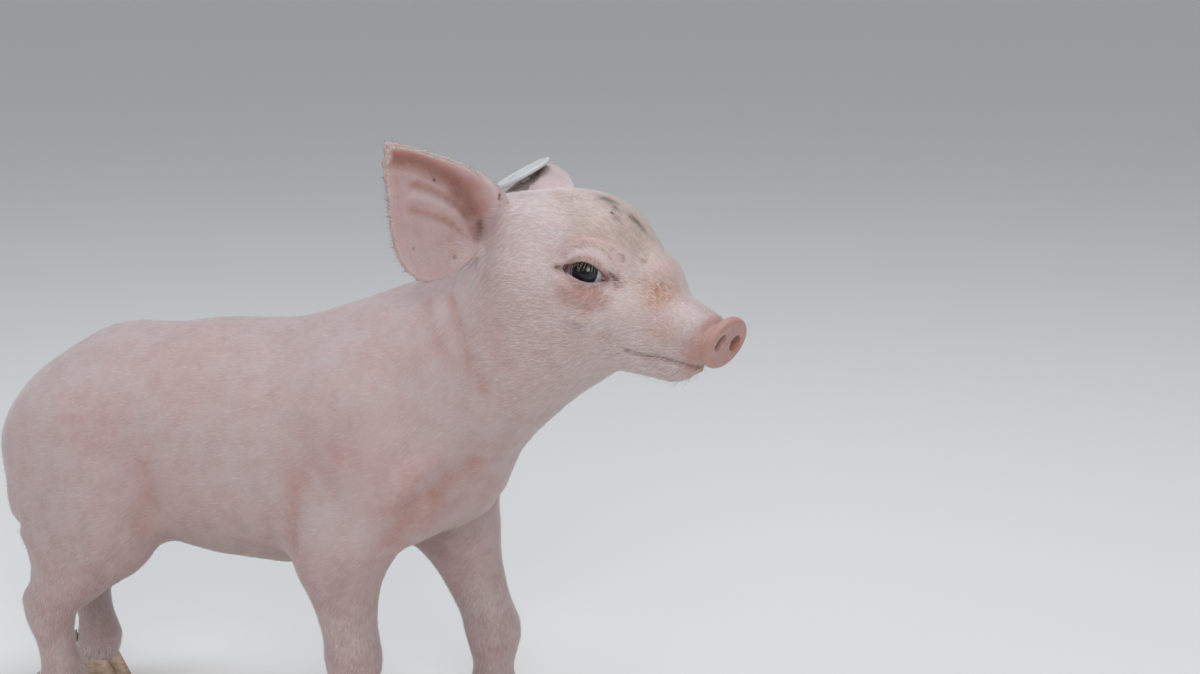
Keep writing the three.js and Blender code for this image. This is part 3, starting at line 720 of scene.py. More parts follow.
def markings(points, facing):
    # The masks that the skin and the coat both carry.
    local = headPlaces(points)
    colours = ("flush", "lilac", "stain", "rust", "dark", "cream", "rim", "fleck", "disc", "dirt_and_shade")
    masks = {key: np.zeros(len(points)) for key in colours}

    def lay(key, values):
        masks[key] = np.maximum(masks[key], values)

    offEars = 1 - eitherEarShare(points)
    offHead = 1 - soft((local[:, 0] + 62) / 40) * (points[:, 2] > 0.1)
    spots = points / mm - bodyShift
    flat = spots[:, [0, 2]]
    low = soft((140 - spots[:, 2]) / 70)
    for key, strength, spot, radius, edge in bodySpots:
        lay(key, strength * spotMask(flat, spot, radius, edge))
    # A dusty tone lies over the body. It is darker towards the bottom, and darker again, as painted shade, on
    # surfaces facing down.
    lay("dirt_and_shade", offHead * (0.3 + 0.4 * low + 0.3 * soft(-facing[:, 2] - 0.1)))
    # Surfaces facing up are darkened too: painted shade that tones down the light from above.
    lay("dirt_and_shade", 0.5 * soft(facing[:, 2] - 0.1) * offEars)
    # The head darkens towards the bottom: painted shade under the jaw.
    lay("dirt_and_shade", 0.45 * (1 - offHead) * soft((-8 - local[:, 2]) / 14))
    # Low surfaces that don't face up are flushed redder: the belly's pinker skin, with painted warm bounce light.
    lay("flush", 0.3 * offHead * low * soft(0.3 - facing[:, 2]))
    # The crown is darkened with painted shade that tones down the light from above, and it also takes a little
    # cream.
    crownShare = soft((local[:, 2] - 8) / 10) * soft((local[:, 0] + 46) / 16) * soft((30 - local[:, 0]) / 12)
    lay("dirt_and_shade", crownShare * offEars)
    lay("cream", 0.2 * crownShare * offEars)
    # Painted shade along the creases of the body.
    for index, width, strength in shadedCreases:
        path = bodyFolds[index][0]
        lay("flush", strength * lineMask(flat, path, 1.6 * width, fade=width))
        lay("rust", 0.45 * strength * lineMask(flat, path, width, fade=width))
    for path in scratches:
        lay("rust", 0.35 * (spots[:, 1] < 0) * lineMask(flat, path, 1.3))

    muzzle = np.abs(local[:, 1]) < 30
    lay("flush", 0.85 * soft((local[:, 0] - 49) / 8) * muzzle)
    lay("disc", soft((local[:, 0] - 55) / 4) * muzzle)
    lay("dirt_and_shade", 0.85 * soft((local[:, 0] - 40) / 16) * muzzle)
    lay("stain", 0.3 * soft((local[:, 0] - 50) / 8) * muzzle)
    # The mouth crease darkens: painted shade.
    mouth = lineMask(local[:, [0, 2]], lipLine, 1.8) * muzzle * (local[:, 0] > 20)
    lay("rust", 0.5 * mouth)
    lay("dark", 0.35 * mouth)

    for side in sides.values():
        onSide = local[:, 1] * side > 0
        for key, strength, spot, radius, edge in cheekSpots:
            lay(key, strength * onSide * spotMask(local, np.array(spot) * [1, side, 1], radius, edge))
        spots = eyePlaces(points, side)
        front = (spots[:, 2] > -4) * 1.0
        flat = spots[:, :2]
        for key, strength, spot, radius, edge in eyeSpots:
            lay(key, strength * front * spotMask(flat, spot, radius, edge))
        for key, strength, path, width, fade in eyeLines:
            lay(key, strength * front * lineMask(flat, path, width, fade=fade))
        for spot, radius in eyeMoles:
            lay("rust", 0.9 * front * spotMask(flat, spot, radius, 0.6))
            lay("dark", 0.4 * front * spotMask(flat, spot, 0.8 * radius, 0.6))
        lay("flush", 0.35 * front * soft((15 - np.linalg.norm(flat / [1.25, 1.0], axis=1)) / 8))
        under = front * soft((1 - np.linalg.norm((flat - [1, -10.5]) / [14, 8], axis=1)) / 0.5)
        for key, strength in (("flush", 0.6), ("rust", 0.3), ("dirt_and_shade", 0.8)):
            lay(key, strength * under)
        lay("rim", front * lineMask(flat, lidOpening(), 2.2))
        canthus = lineMask(flat, [[10.6, 0.8], [12.3, -0.4], [13.8, -3.0]], 3.0)
        rear = lineMask(flat, [[-9.2, 0.0], [-11.2, 0.0], [-12.6, -0.3]], 3.0)
        lay("rust", front * np.maximum(canthus, rear))
        lay("dark", 0.9 * front * np.maximum(canthus**2, rear**2))

    crown = local[:, 2] > 8
    for path, width in crownSmudges:
        lay("dark", 0.85 * crown * lineMask(local[:, :2], path, width))
    lay("fleck", 0.7 * (crown * lineMask(local[:, :2], [[-14, -11], [-4, -9], [6, -3], [12, -1]], 11.0)))
    lay("fleck", 0.35 * soft((local[:, 0] + 10) / 20) * (local[:, 2] > -24))

    scale = ears["length"]
    for which in sides:
        plan = earPlaces(points, which)[:, :2]
        share = earShare(points, which)
        inner = share * soft(facing @ earAxes(which)[0][2] * 2)

        def along(index, width, fade=0.0):
            return lineMask(plan, np.array(earRidges[index][0]) * scale, width, fade)

        def at(spot, radius, edge=1.0):
            return spotMask(plan, np.array(spot) * scale, radius, edge)

        # Under the rolled rim, in the bowl and towards the canal the ear darkens and reddens: painted shade, over
        # the skin's own redder tone near the canal.
        hollows = [along(1, 9.0, 4.0), 0.95 * at((0.33, 0.09), 13), at((0.22, 0.16), 12), at((0.12, 0.24), 9)]
        hollow = np.maximum.reduce(hollows)
        lay("flush", 0.1 * share)
        # A paler band on the rolled rim and on the raised ridge inside: painted highlight.
        lay("lilac", 0.8 * share * along(0, 6.5))
        lay("lilac", 0.7 * inner * along(4, 4.5, 4.0))
        lay("lilac", 0.4 * inner * at((0.5, 0.5), 26))
        lay("flush", inner * np.minimum(1, 1.15 * hollow))
        lay("rust", 0.55 * inner * hollow**2)
        lay("dark", 0.36 * inner * hollow**2)
        # The grooves between the ridges darken: painted shade.
        for index in (3, 5):
            lay("rust", 0.6 * inner * along(index, 2.4, 6.0))
            lay("flush", 0.5 * inner * along(index, 5.0, 6.0))
        # The canal and the skin just before it darken: painted shade.
        lay("rust", 0.7 * inner * at((0.13, 0.22), 4.5))
        canal = lineMask(plan, np.array([[0.13, 0.2], [0.1, 0.25], [0.09, 0.29]]) * scale, 4.5)
        lay("dark", 0.75 * inner * canal)
        for spot, radius, depth in earMoles:
            lay("dark", depth * share * at(spot, radius, 0.7))
            lay("rust", 0.7 * share * at(spot, 1.4 * radius))
        for spot in ((0.26, 0.37), (0.47, 0.42), (0.2, 0.44)):
            lay("stain", 0.3 * inner * at(spot, 4.0))
        lay("fleck", 0.22 * inner)
    return masks


for key, values in markings(skinPoints, normals(skinMesh)).items():
    addMask(skinMesh, key, values)


class Board:
    # A small bench for laying out the nodes of one material or group.
    def __init__(self, tree):
        self.tree = tree

    def link(self, source, sink):
        self.tree.links.new(source, sink)

    def node(self, kind, inputs=None, **settings):
        # Each input is a plain value, or the output that feeds it.
        made = self.tree.nodes.new(kind)
        for key, value in settings.items():
            setattr(made, key, value)
        for key, value in (inputs or {}).items():
            if isinstance(value, bpy.types.NodeSocket):
                self.link(value, made.inputs[key])
            else:
                made.inputs[key].default_value = value
        return made

    def mask(self, name):
        return self.node("ShaderNodeAttribute", attribute_name=name).outputs["Fac"]

    def place(self):
        return self.node("ShaderNodeTexCoord").outputs["Object"]

    def stretched(self, vector, scale):
        return self.node("ShaderNodeMapping", {"Vector": vector, "Scale": scale}).outputs["Vector"]

    def noise(self, vector, scale, detail=3.0, roughness=0.5, out="Fac"):
        inputs = {"Vector": vector, "Scale": scale, "Detail": detail, "Roughness": roughness}
        return self.node("ShaderNodeTexNoise", inputs).outputs[out]

    def warped(self, vector, scale, amount):
        # The same place, nudged about by noise.
        inputs = {0: self.noise(vector, scale, 2.0, 0.5, "Color"), 1: (amount, amount, amount), 2: vector}
        return self.node("ShaderNodeVectorMath", inputs, operation="MULTIPLY_ADD").outputs["Vector"]

    def cells(self, vector, scale, feature):
        inputs = {"Vector": vector, "Scale": scale}
        return self.node("ShaderNodeTexVoronoi", inputs, feature=feature).outputs["Distance"]

    def ramp(self, value, low, high, outLow=0.0, outHigh=1.0):
        inputs = {"Value": value, "From Min": low, "From Max": high, "To Min": outLow, "To Max": outHigh}
        return self.node("ShaderNodeMapRange", inputs, interpolation_type="SMOOTHSTEP").outputs["Result"]

    def less(self, first, second):
        return self.node("ShaderNodeMath", {0: first, 1: second}, operation="SUBTRACT").outputs["Value"]

    def times(self, first, second):
        return self.node("ShaderNodeMath", {0: first, 1: second}, operation="MULTIPLY").outputs["Value"]

    def blend(self, share, first, second):
        inputs = {"Factor": share, 6: first, 7: second}
        return self.node("ShaderNodeMix", inputs, data_type="RGBA").outputs[2]

    def bump(self, height, strength, distance, normal=None):
        inputs = {"Height": height, "Strength": strength, "Distance": distance}
        if normal is not None:
            inputs["Normal"] = normal
        return self.node("ShaderNodeBump", inputs).outputs["Normal"]

    def use(self, group, values):
        return self.node("ShaderNodeGroup", values, node_tree=group).outputs


def newGroup(name, inputs, outputs):
    group = bpy.data.node_groups.new(name, "ShaderNodeTree")
    for key, kind, value in inputs:
        socket = group.interface.new_socket(key, in_out="INPUT", socket_type=kind)
        if value is not None:
            socket.default_value = value
    for key, kind in outputs:
        group.interface.new_socket(key, in_out="OUTPUT", socket_type=kind)
    board = Board(group)
    return group, board, board.node("NodeGroupInput").outputs, board.node("NodeGroupOutput").inputs


def newMaterial(name, plain):
    material = bpy.data.materials.new(name)
    material.use_nodes = True
    shader = material.node_tree.nodes["Principled BSDF"].inputs
    for key, value in plain.items():
        shader[key].default_value = value
    return material, Board(material.node_tree), shader


# The brown and red tones below serve both for dirt and flush and for painted shade.
skinTones = {
    "pale": (0.52, 0.42, 0.415, 1.0),
    "pink": (0.52, 0.34, 0.32, 1.0),
    "dirt_and_shade": (0.33, 0.235, 0.22, 1.0),
    "flush": (0.44, 0.2, 0.175, 1.0),
    "lilac": (0.56, 0.46, 0.47, 1.0),
    "rust": (0.34, 0.15, 0.08, 1.0),
    "stain": (0.4, 0.2, 0.1, 1.0),
    "cream": (0.7, 0.55, 0.4, 1.0),
    "dark": (0.05, 0.03, 0.03, 1.0),
    "fleck": (0.09, 0.05, 0.045, 1.0),
}
marks = ("dirt_and_shade", "flush", "lilac", "stain", "rust", "dark", "cream", "fleck")

# The colour of the animal at a place: mottled pink, with its flushed parts, its marks and the shade painted on it.
# Skin and coat both use it.
hide, board, given, out = newGroup(
    "hideTone",
    [("Vector", "NodeSocketVector", None)] + [(key.capitalize(), "NodeSocketFloat", 0.0) for key in marks],
    [("Color", "NodeSocketColor")],
)
where = given["Vector"]
wide = board.ramp(board.noise(where, 22, 3, 0.55), 0.38, 0.66)
close = board.ramp(board.noise(where, 110, 4, 0.6), 0.35, 0.7)
fine = board.noise(where, 700, 3, 0.6)
tone = board.blend(board.times(wide, 0.5), skinTones["pale"], skinTones["pink"])
tone = board.blend(board.times(close, 0.35), tone, skinTones["pink"])
for key in ("Dirt_and_shade", "Flush"):
    tone = board.blend(board.times(given[key], board.ramp(close, 0, 1, 0.6, 1.0)), tone, skinTones[key.lower()])
tone = board.blend(given["Lilac"], tone, skinTones["lilac"])
for key in ("Cream", "Stain", "Rust"):
    tone = board.blend(board.times(given[key], board.ramp(fine, 0.35, 0.6, 0.4, 1.0)), tone, skinTones[key.lower()])
chance = board.times(given["Fleck"], board.noise(where, 95, 2, 0.5))
size = board.times(board.ramp(chance, 0.1, 0.62), 0.52)
specks = board.less(board.cells(board.warped(where, 500, 0.0012), 210.0, "F1"), size)
speckled = board.times(board.ramp(specks, -0.06, 0.02, 1.0, 0.0), board.ramp(size, 0.02, 0.14))
tone = board.blend(board.times(speckled, 0.85), tone, skinTones["fleck"])
tone = board.blend(given["Dark"], tone, skinTones["dark"])
board.link(tone, out["Color"])

# Fine hair lying flat, drawn as raised streaks along the lie of the coat.
flatCoat, board, given, out = newGroup(
    "flatCoat",
    [("Vector", "NodeSocketVector", None), ("Width", "NodeSocketFloat", 1800.0)],
    [("Height", "NodeSocketFloat")],
)
board.link(board.noise(board.stretched(given["Vector"], (0.14, 1, 1)), given["Width"], 2.0), out["Height"])


def hideOn(board, where):
    return board.use(hide, {"Vector": where, **{key.capitalize(): board.mask(key) for key in marks}})["Color"]


skinFinish = {
    "Roughness": 0.52, "Subsurface Weight": 0.35, "Subsurface Scale": 0.004, "Subsurface Radius": (1.0, 0.42, 0.3),
    "Sheen Weight": 0.25, "Sheen Roughness": 0.45,
}
skinMaterial, board, shader = newMaterial("piglet_skin", skinFinish)
where = board.place()
tone = board.blend(board.times(board.mask("rim"), 0.75), hideOn(board, where), (0.3, 0.2, 0.21, 1))
board.link(tone, shader["Base Color"])
board.link(board.ramp(board.mask("rim"), 0.2, 0.9, 0.5, 0.22), shader["Roughness"])
# Hanging folds, wrinkles, pores, flat hair and the pebbles of the snout: each with its strength and depth in metres.
raised = None
for height, strength, depth in (
    (board.noise(board.stretched(where, (1.0, 1.0, 0.35)), 190, 3, 0.55), 0.35, 0.002),
    (board.noise(where, 260, 4, 0.6), 0.3, 0.001),
    (board.noise(where, 1500, 3, 0.6), 0.25, 0.0003),
    (board.use(flatCoat, {"Vector": where})["Height"], 0.2, 0.0003),
    (board.times(board.cells(where, 900.0, "SMOOTH_F1"), board.mask("disc")), 0.5, 0.0005),
):
    raised = board.bump(height, strength, depth, raised)
board.link(raised, shader["Normal"])
skinMesh.materials.append(skinMaterial)
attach(skinPiece, "root")
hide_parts(*fleshNodes)
print("skin done")


def headWay(way):
    return Vector(normed(np.array(way, float) @ headTurn))


eyeFinish = {
    "Roughness": 0.2, "Coat Weight": 1.0, "Coat Roughness": 0.02, "Coat IOR": 1.3, "Specular IOR Level": 0.2,
}
eyeMaterial, board, shader = newMaterial("piglet_eye", eyeFinish)
angle = board.mask("gazeAngle")
where = board.place()
ripple, vein = board.noise(where, 900, 3, 0.6), board.noise(where, 400, 4, 0.7)
iris = board.blend(board.ramp(ripple, 0.35, 0.65), (0.008, 0.011, 0.018, 1), (0.022, 0.028, 0.042, 1))
tone = board.blend(board.ramp(angle, *eyes["pupil"]), (0.002, 0.002, 0.003, 1), iris)
white = board.blend(board.ramp(vein, 0.45, 0.62), (0.58, 0.58, 0.62, 1), (0.5, 0.36, 0.36, 1))
tone = board.blend(board.ramp(angle, *eyes["iris"]), tone, white)
board.link(tone, shader["Base Color"])

lidFinish = {"Roughness": 0.2, "Subsurface Weight": 0.2, "Subsurface Scale": 0.002}
lidMaterial, board, shader = newMaterial("lid_margin", lidFinish)
where = board.place()
patchy = board.ramp(board.noise(where, 700, 3, 0.6), 0.35, 0.65)
lower = board.blend(patchy, (0.27, 0.21, 0.24, 1), (0.34, 0.22, 0.22, 1))
upper = board.blend(patchy, (0.3, 0.13, 0.07, 1), (0.2, 0.1, 0.08, 1))
tone = board.blend(board.mask("upper"), lower, upper)
tone = board.blend(board.mask("corner"), tone, (0.07, 0.02, 0.015, 1))
tone = board.blend(board.mask("caruncle"), tone, (0.24, 0.09, 0.075, 1))
board.link(tone, shader["Base Color"])
board.link(board.bump(board.noise(where, 1800, 2, 0.5), 0.3, 0.0002), shader["Normal"])


def lidDepths(opening, side):
    # How far out the skin's edge lies along the opening, in mm.
    depths = []
    for x, y in opening * 1.04:
        start = fromEye([x, y, 20], side)[0]
        way = fromEye([x, y, 10], side)[0] - start
        hit = skinTree.ray_cast(Vector(start), Vector(way).normalized())[0]
        depths.append(eyePlaces(np.array([hit]), side)[0][2] if hit else 4.5)
    depths = np.array(depths)
    for _ in range(3):
        depths = 0.5 * depths + 0.25 * (np.roll(depths, 1) + np.roll(depths, -1))
    return depths


for sideName, side in sides.items():
    look = headWay((eyes["look"][0], side * eyes["look"][1], eyes["look"][2]))
    ball = bmesh.new()
    bmesh.ops.create_uvsphere(ball, u_segments=48, v_segments=32, radius=eyes["radius"] * mm)
    ballMesh = bpy.data.meshes.new(f"eyeball_{sideName}")
    ball.transform(Vector((0, 0, 1)).rotation_difference(look).to_matrix().to_4x4())
    gaze = []
    for vertex in ball.verts:
        turn = math.degrees(vertex.co.angle(look))
        gaze.append(turn)
        vertex.co *= 1 + eyes["cornea"] / eyes["radius"] * float(soft((48 - turn) / 40))
    ball.transform(Matrix.Translation(middleOf(f"eye_{sideName}")))
    ball.to_mesh(ballMesh)
    ball.free()
    addMask(ballMesh, "gazeAngle", gaze)
    smoothFaces(ballMesh)
    ballMesh.materials.append(eyeMaterial)
    eyePiece = linked(f"eyeball_{sideName}", ballMesh)
    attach(eyePiece, "root")
    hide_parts(f"eye_{sideName}")
    # The moist margin of the lids runs round the opening, just over the skin's own edge.
    opening = lidOpening(steps=16)[:-1]
    depths = lidDepths(opening, side)
    line = bpy.data.curves.new("lid_line", "CURVE")
    line.dimensions = "3D"
    line.bevel_depth = eyes["margin"] * mm
    line.bevel_resolution = 4
    spline = line.splines.new("POLY")
    spline.points.add(len(opening) - 1)
    spline.use_cyclic_u = True
    for point, (x, y), depth in zip(spline.points, opening, depths):
        corner = abs(x / eyes["corners"][1][0]) ** 4
        point.co = (*fromEye([x * (1.0 - 0.05 * corner), y, depth - 0.35 - 0.5 * corner], side)[0], 1)
        point.radius = 1 + 0.9 * corner
    holder = linked("lid_line", line)
    graph = bpy.context.evaluated_depsgraph_get()
    lidMesh = bpy.data.meshes.new_from_object(holder.evaluated_get(graph))
    bpy.data.objects.remove(holder)
    lid = bmesh.new()
    lid.from_mesh(lidMesh)
    # The fleshy front corner.
    made = bmesh.ops.create_icosphere(lid, subdivisions=3, radius=1.0)["verts"]
    bmesh.ops.scale(lid, verts=made, vec=(2.3 * mm, 1.05 * mm, 0.9 * mm))
    depth = depths[int(np.argmin(np.abs(opening[:, 0] - 9.9)))]
    centre = fromEye([8.9, -1.3, depth - 1.6], side)[0]
    axes = np.array([fromEye(axis, side)[0] - fromEye([0, 0, 0], side)[0] for axis in np.eye(3)]) / mm
    turn = Matrix([list(row) for row in axes.T]).to_4x4()
    bmesh.ops.transform(lid, matrix=Matrix.Translation(centre) @ turn, verts=made)
    bmesh.ops.remove_doubles(lid, verts=lid.verts, dist=1e-6)
    bmesh.ops.recalc_face_normals(lid, faces=lid.faces)
    lid.to_mesh(lidMesh)
    lid.free()
    lidMesh.name = f"lid_margin_{sideName}"
    lidSpots = eyePlaces(places(lidMesh), side)
    addMask(lidMesh, "corner", soft((-lidSpots[:, 0] - 6.8) / 1.6))
    addMask(lidMesh, "caruncle", soft((lidSpots[:, 0] - 6.8) / 2.4))
    addMask(lidMesh, "upper", soft((lidSpots[:, 1] + 0.6) / 1.5))
    smoothFaces(lidMesh)
    lidMesh.materials.clear()
    lidMesh.materials.append(lidMaterial)
    lidPiece = linked(lidMesh.name, lidMesh)
    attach(lidPiece, "root")
print("eyes done")

clawNodes = sorted(name for name in nodes if "claw" in name)
claws = {"voxel": 0.45, "rounds": 10, "sole": 0.5, "thinning": 0.5}

clawMesh = applied(mergedCopy(clawNodes), "REMESH", mode="VOXEL", voxel_size=claws["voxel"] * mm)
start = places(clawMesh)
points = averaged(start, edgesOf(clawMesh), 0.5, claws["rounds"])
points[:, 2] = np.maximum(points[:, 2], start[:, 2].min())
flatSole = start[:, 2] < claws["sole"] * mm
points[flatSole, 2] = start[flatSole, 2]
setPlaces(clawMesh, points)
clawMesh = applied(clawMesh, "DECIMATE", ratio=claws["thinning"])
smoothFaces(clawMesh)
clawMesh.name = "claws"
clawPiece = linked("claws", clawMesh)
hornFinish = {"Roughness": 0.42, "Subsurface Weight": 0.15, "Subsurface Scale": 0.002}
hornMaterial, board, shader = newMaterial("claw_horn", hornFinish)
where = board.place()
bands = board.noise(board.stretched(where, (0.25, 0.25, 1)), 900, 3, 0.6)
grime = board.ramp(board.noise(where, 160, 4, 0.6), 0.4, 0.65)
tone = board.blend(board.ramp(bands, 0.35, 0.65), (0.42, 0.3, 0.2, 1), (0.55, 0.43, 0.32, 1))
tone = board.blend(board.times(grime, 0.5), tone, (0.2, 0.13, 0.08, 1))
board.link(tone, shader["Base Color"])
board.link(board.bump(bands, 0.4, 0.0004), shader["Normal"])
clawMesh.materials.append(hornMaterial)
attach(clawPiece, "root")
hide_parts(*clawNodes)
print("claws done")

tagMaterial, board, shader = newMaterial("tag_plastic", {"Roughness": 0.35})
where = board.place()
worn = board.ramp(board.noise(where, 140, 4, 0.6), 0.48, 0.75)
tone = board.blend(board.times(worn, 0.3), (0.6, 0.61, 0.61, 1), (0.45, 0.42, 0.38, 1))
board.link(tone, shader["Base Color"])
board.link(board.bump(board.noise(where, 1200, 2, 0.5), 0.08, 0.0002), shader["Normal"])

# The tag's two halves as profiles of radius and height in mm, each with the steps of its spin.
radius = tag["radius"]
plateProfile = [
    (0, -5.4), (2.6, -5.4), (2.9, -5.6), (3.3, -5.7), (3.7, -5.6), (4.0, -5.45), (radius - 2.2, -5.45),
    (radius - 1.7, -5.7), (radius - 0.5, -5.7), (radius - 0.1, -5.4), (radius, -5.0), (radius, -4.4),
    (radius - 0.15, -4.0), (radius - 0.5, -3.8), (3.2, -3.8), (2.7, -3.6), (2.4, -2.9), (2.4, -0.9), (0, -0.9),
]
studProfile = [
    (0, 0.9), (2.4, 0.9), (2.5, 1.7), (2.9, 2.3), (3.7, 2.6), (4.2, 2.9), (4.4, 3.4), (4.4, 6.4), (4.1, 7.0),
    (3.2, 7.6), (2.4, 8.3), (1.7, 9.4), (1.2, 10.4), (0.8, 10.8), (0, 11.0),
]
tagAxes = earAxes("left")[0]
tagLean = Vector((0, 0, 1)).rotation_difference(Vector(tag["pin"])).to_matrix()
tagTurn = (Matrix([[tagAxes[column][row] for column in (0, 1, 2)] for row in range(3)]) @ tagLean).to_4x4()
for name, profile, steps in (("tag_plate", plateProfile, 64), ("tag_stud", studProfile, 40)):
    shape = spun([(across * mm, height * mm) for across, height in profile], steps, 1e-6)
    shape.transform(Matrix.Translation(onEar("left", tag["spot"])[0]) @ tagTurn)
    bmesh.ops.recalc_face_normals(shape, faces=shape.faces)  # the ear's axes mirror the shape
    made = linked(f"{name}_moulded", bpy.data.meshes.new(f"{name}_moulded"))
    shape.to_mesh(made.data)
    shape.free()
    made.data.materials.append(tagMaterial)
    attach(made, "root")
    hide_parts(name)
print("tag done")

coat = {
    "seed": 11,
    "sink": 0.4,  # how deep a root sits in the skin, in mm
    "patch": 0.003,  # the size of a tuft's patch on the unwrap
    "proxyTriangles": 9000,
    "mostTufts": 19900,  # ten triangles each keep a piece under 200,000
    "quickShare": 6,
    "socket": 9.6,  # none grows this near the middle of an eyeball, in mm
    "disc": 57,  # nor further ahead on the head than this
    "clawTop": 0.026,  # the coat thickens below this height over the last few mm, in metres
    "clawFade": 0.007,
    "wander": 0.16,  # how unevenly the hair lies
    "lengths": (0.6, 1.15),  # the least and the most of a kind's own value
    "widths": (0.7, 1.2),
    "lifts": (0.4, 1.6),
}
# For each kind of coat: tufts on a square millimetre, length and width in mm, how far they stand off in degrees,
# and how pale they are against the skin.
coatKinds = {
    "body": {"density": 0.5, "length": 6.0, "width": 0.1, "lift": 7, "white": 0.34},
    "head": {"density": 1.6, "length": 5.0, "width": 0.1, "lift": 13, "white": 0.6},
    "ears": {"density": 0.9, "length": 3.6, "width": 0.07, "lift": 16, "white": 0.4},
    "legs": {"density": 1.0, "length": 4.8, "width": 0.09, "lift": 11, "white": 0.5},
}

skinNormals = normals(skinMesh)
skinTriangles = triangles(skinMesh)
corners = skinPoints[skinTriangles]
faceCross = np.cross(corners[:, 1] - corners[:, 0], corners[:, 2] - corners[:, 0])
faceAreas = 0.5 * np.linalg.norm(faceCross, axis=1)
faceMiddles = corners.mean(1)
headLocal = headPlaces(faceMiddles)
onTrunk = (faceMiddles[:, 2] > 0.078) & (faceMiddles[:, 0] < 0.035)
onLegs = faceMiddles[:, 2] <= 0.078
eitherEar = eitherEarShare(faceMiddles) > 0.5
pastNeck = (headLocal - [-40, 0, -22]) @ [0.76, 0, 0.65] > 0
onHeadFaces = pastNeck & ~(eitherEar | onLegs | onTrunk)
coatFaces = {
    "coat_trunk_right": onTrunk & (faceMiddles[:, 1] < -0.006),
    "coat_trunk_left": onTrunk & (faceMiddles[:, 1] >= -0.006),
    "coat_neck": ~(onTrunk | onLegs | eitherEar | onHeadFaces),
    "coat_head_right": onHeadFaces & (headLocal[:, 1] < 0),
    "coat_head_left": onHeadFaces & (headLocal[:, 1] >= 0),
    "coat_ears": eitherEar,
    "coat_legs_fore": onLegs & (faceMiddles[:, 0] > -0.04),
    "coat_legs_hind": onLegs & (faceMiddles[:, 0] <= -0.04),
}


def kindShares(points):
    # How much of each kind of coat grows at a place. They add up to 1.
    past = (headPlaces(points) - [-44, 0, -24]) @ [0.76, 0, 0.65]
    ear = eitherEarShare(points)
    legs = soft((0.092 - points[:, 2]) / 0.03)
    head = soft((past + 16) / 40) * (1 - legs)
    head, legs = head * (1 - ear), legs * (1 - ear)
    return {"body": 1 - head - legs - ear, "head": head, "ears": ear, "legs": legs}


def coatValue(shares, key):
    return sum(share * coatKinds[kind][key] for kind, share in shares.items())


def unit(vectors):
    return vectors / np.maximum(np.linalg.norm(vectors, axis=-1, keepdims=True), 1e-12)


def lieOf(points, facing):
    # Which way the coat lies: back along the body, down the legs, back over the head and out along the ears.
    local = headPlaces(points)
    legs = soft((0.105 - points[:, 2]) / 0.04)[:, None]
    way = np.tile([-1.0, 0.0, -0.28], (len(points), 1))
    way = way * (1 - legs) + np.array([-0.2, 0, -1]) * legs
    for share, towards in (
        (soft((-facing[:, 2] - 0.3) / 0.5), np.array([-1, 0, 0.1])),
        (soft((points[:, 0] - 0.02) / 0.04), np.array([-0.62, 0, -0.78])),
        (soft((local[:, 0] + 42) / 26), -0.92 * headTurn[0] - 0.35 * headTurn[2]),
    ):
        share = share[:, None] * (1 - legs)
        way = way * (1 - share) + towards * share
    for side in sides.values():  # round the eyes the hair fans away from them
        away = local - [4, side * 24, -1]
        ring = soft((16 - np.linalg.norm(away, axis=1)) / 10)[:, None]
        way = way * (1 - 0.6 * ring) + 0.6 * ring * unit(away) @ headTurn
    for which in sides:
        plan = earPlaces(points, which)
        out = np.column_stack([0.9 + 0 * plan[:, 0], 0.03 * (plan[:, 1] - 20), np.zeros(len(points))])
        share = earShare(points, which)[:, None]
        way = way * (1 - share) + share * unit(out) @ earAxes(which)[0]
    return unit(way - (way * facing).sum(1, keepdims=True) * facing)


def unwrapped(mesh, triangleCount):
    # A coarse copy of the skin, laid out flat: its search tree, its corners and where they lie on the layout.
    proxy = applied(mesh.copy(), "DECIMATE", ratio=triangleCount / max(1, len(mesh.polygons)))
    holder = linked("unwrap", proxy)
    bpy.context.view_layer.objects.active = holder
    holder.select_set(True)
    bpy.ops.object.mode_set(mode="EDIT")
    bpy.ops.mesh.select_all(action="SELECT")
    bpy.ops.uv.smart_project(angle_limit=math.radians(66), island_margin=0.004)
    bpy.ops.object.mode_set(mode="OBJECT")
    faces = triangles(proxy)
    loops = gathered(proxy.loop_triangles, "loops", 3, np.int32)
    flat = gathered(proxy.uv_layers.active.data, "uv", 2, np.float32)
    tree, shape = treeOf(proxy), places(proxy)[faces]
    bpy.data.objects.remove(holder)
    return tree, shape, flat[loops]


def unwrapPlaces(points, unwrap):
    tree, shape, corners = unwrap
    index = np.array([tree.find_nearest(p)[2] for p in points.tolist()])
    a, b, c = shape[index, 0], shape[index, 1], shape[index, 2]
    normal = np.cross(b - a, c - a)
    size = np.maximum((normal**2).sum(1), 1e-20)
    first = np.clip((np.cross(c - b, points - b) * normal).sum(1) / size, 0, 1)
    second = np.clip((np.cross(a - c, points - c) * normal).sum(1) / size, 0, 1)
    third = np.clip(1 - first - second, 0, 1)
    return sum(share[:, None] * corners[index, corner] for corner, share in enumerate((first, second, third)))


def meshFrom(name, points, faces, uv):
    mesh = bpy.data.meshes.new(name)
    mesh.vertices.add(len(points))
    mesh.vertices.foreach_set("co", np.ascontiguousarray(points, dtype=np.float32).ravel())
    mesh.loops.add(faces.size)
    mesh.loops.foreach_set("vertex_index", np.ascontiguousarray(faces, dtype=np.int32).ravel())
    mesh.polygons.add(len(faces))
    mesh.polygons.foreach_set("loop_start", np.arange(0, faces.size, 3, dtype=np.int32))
    mesh.update(calc_edges=True)
    layer = mesh.uv_layers.new(name="OFBake")
    layer.data.foreach_set("uv", np.ascontiguousarray(uv[faces.ravel()], dtype=np.float32).ravel())
    smoothFaces(mesh)
    return mesh


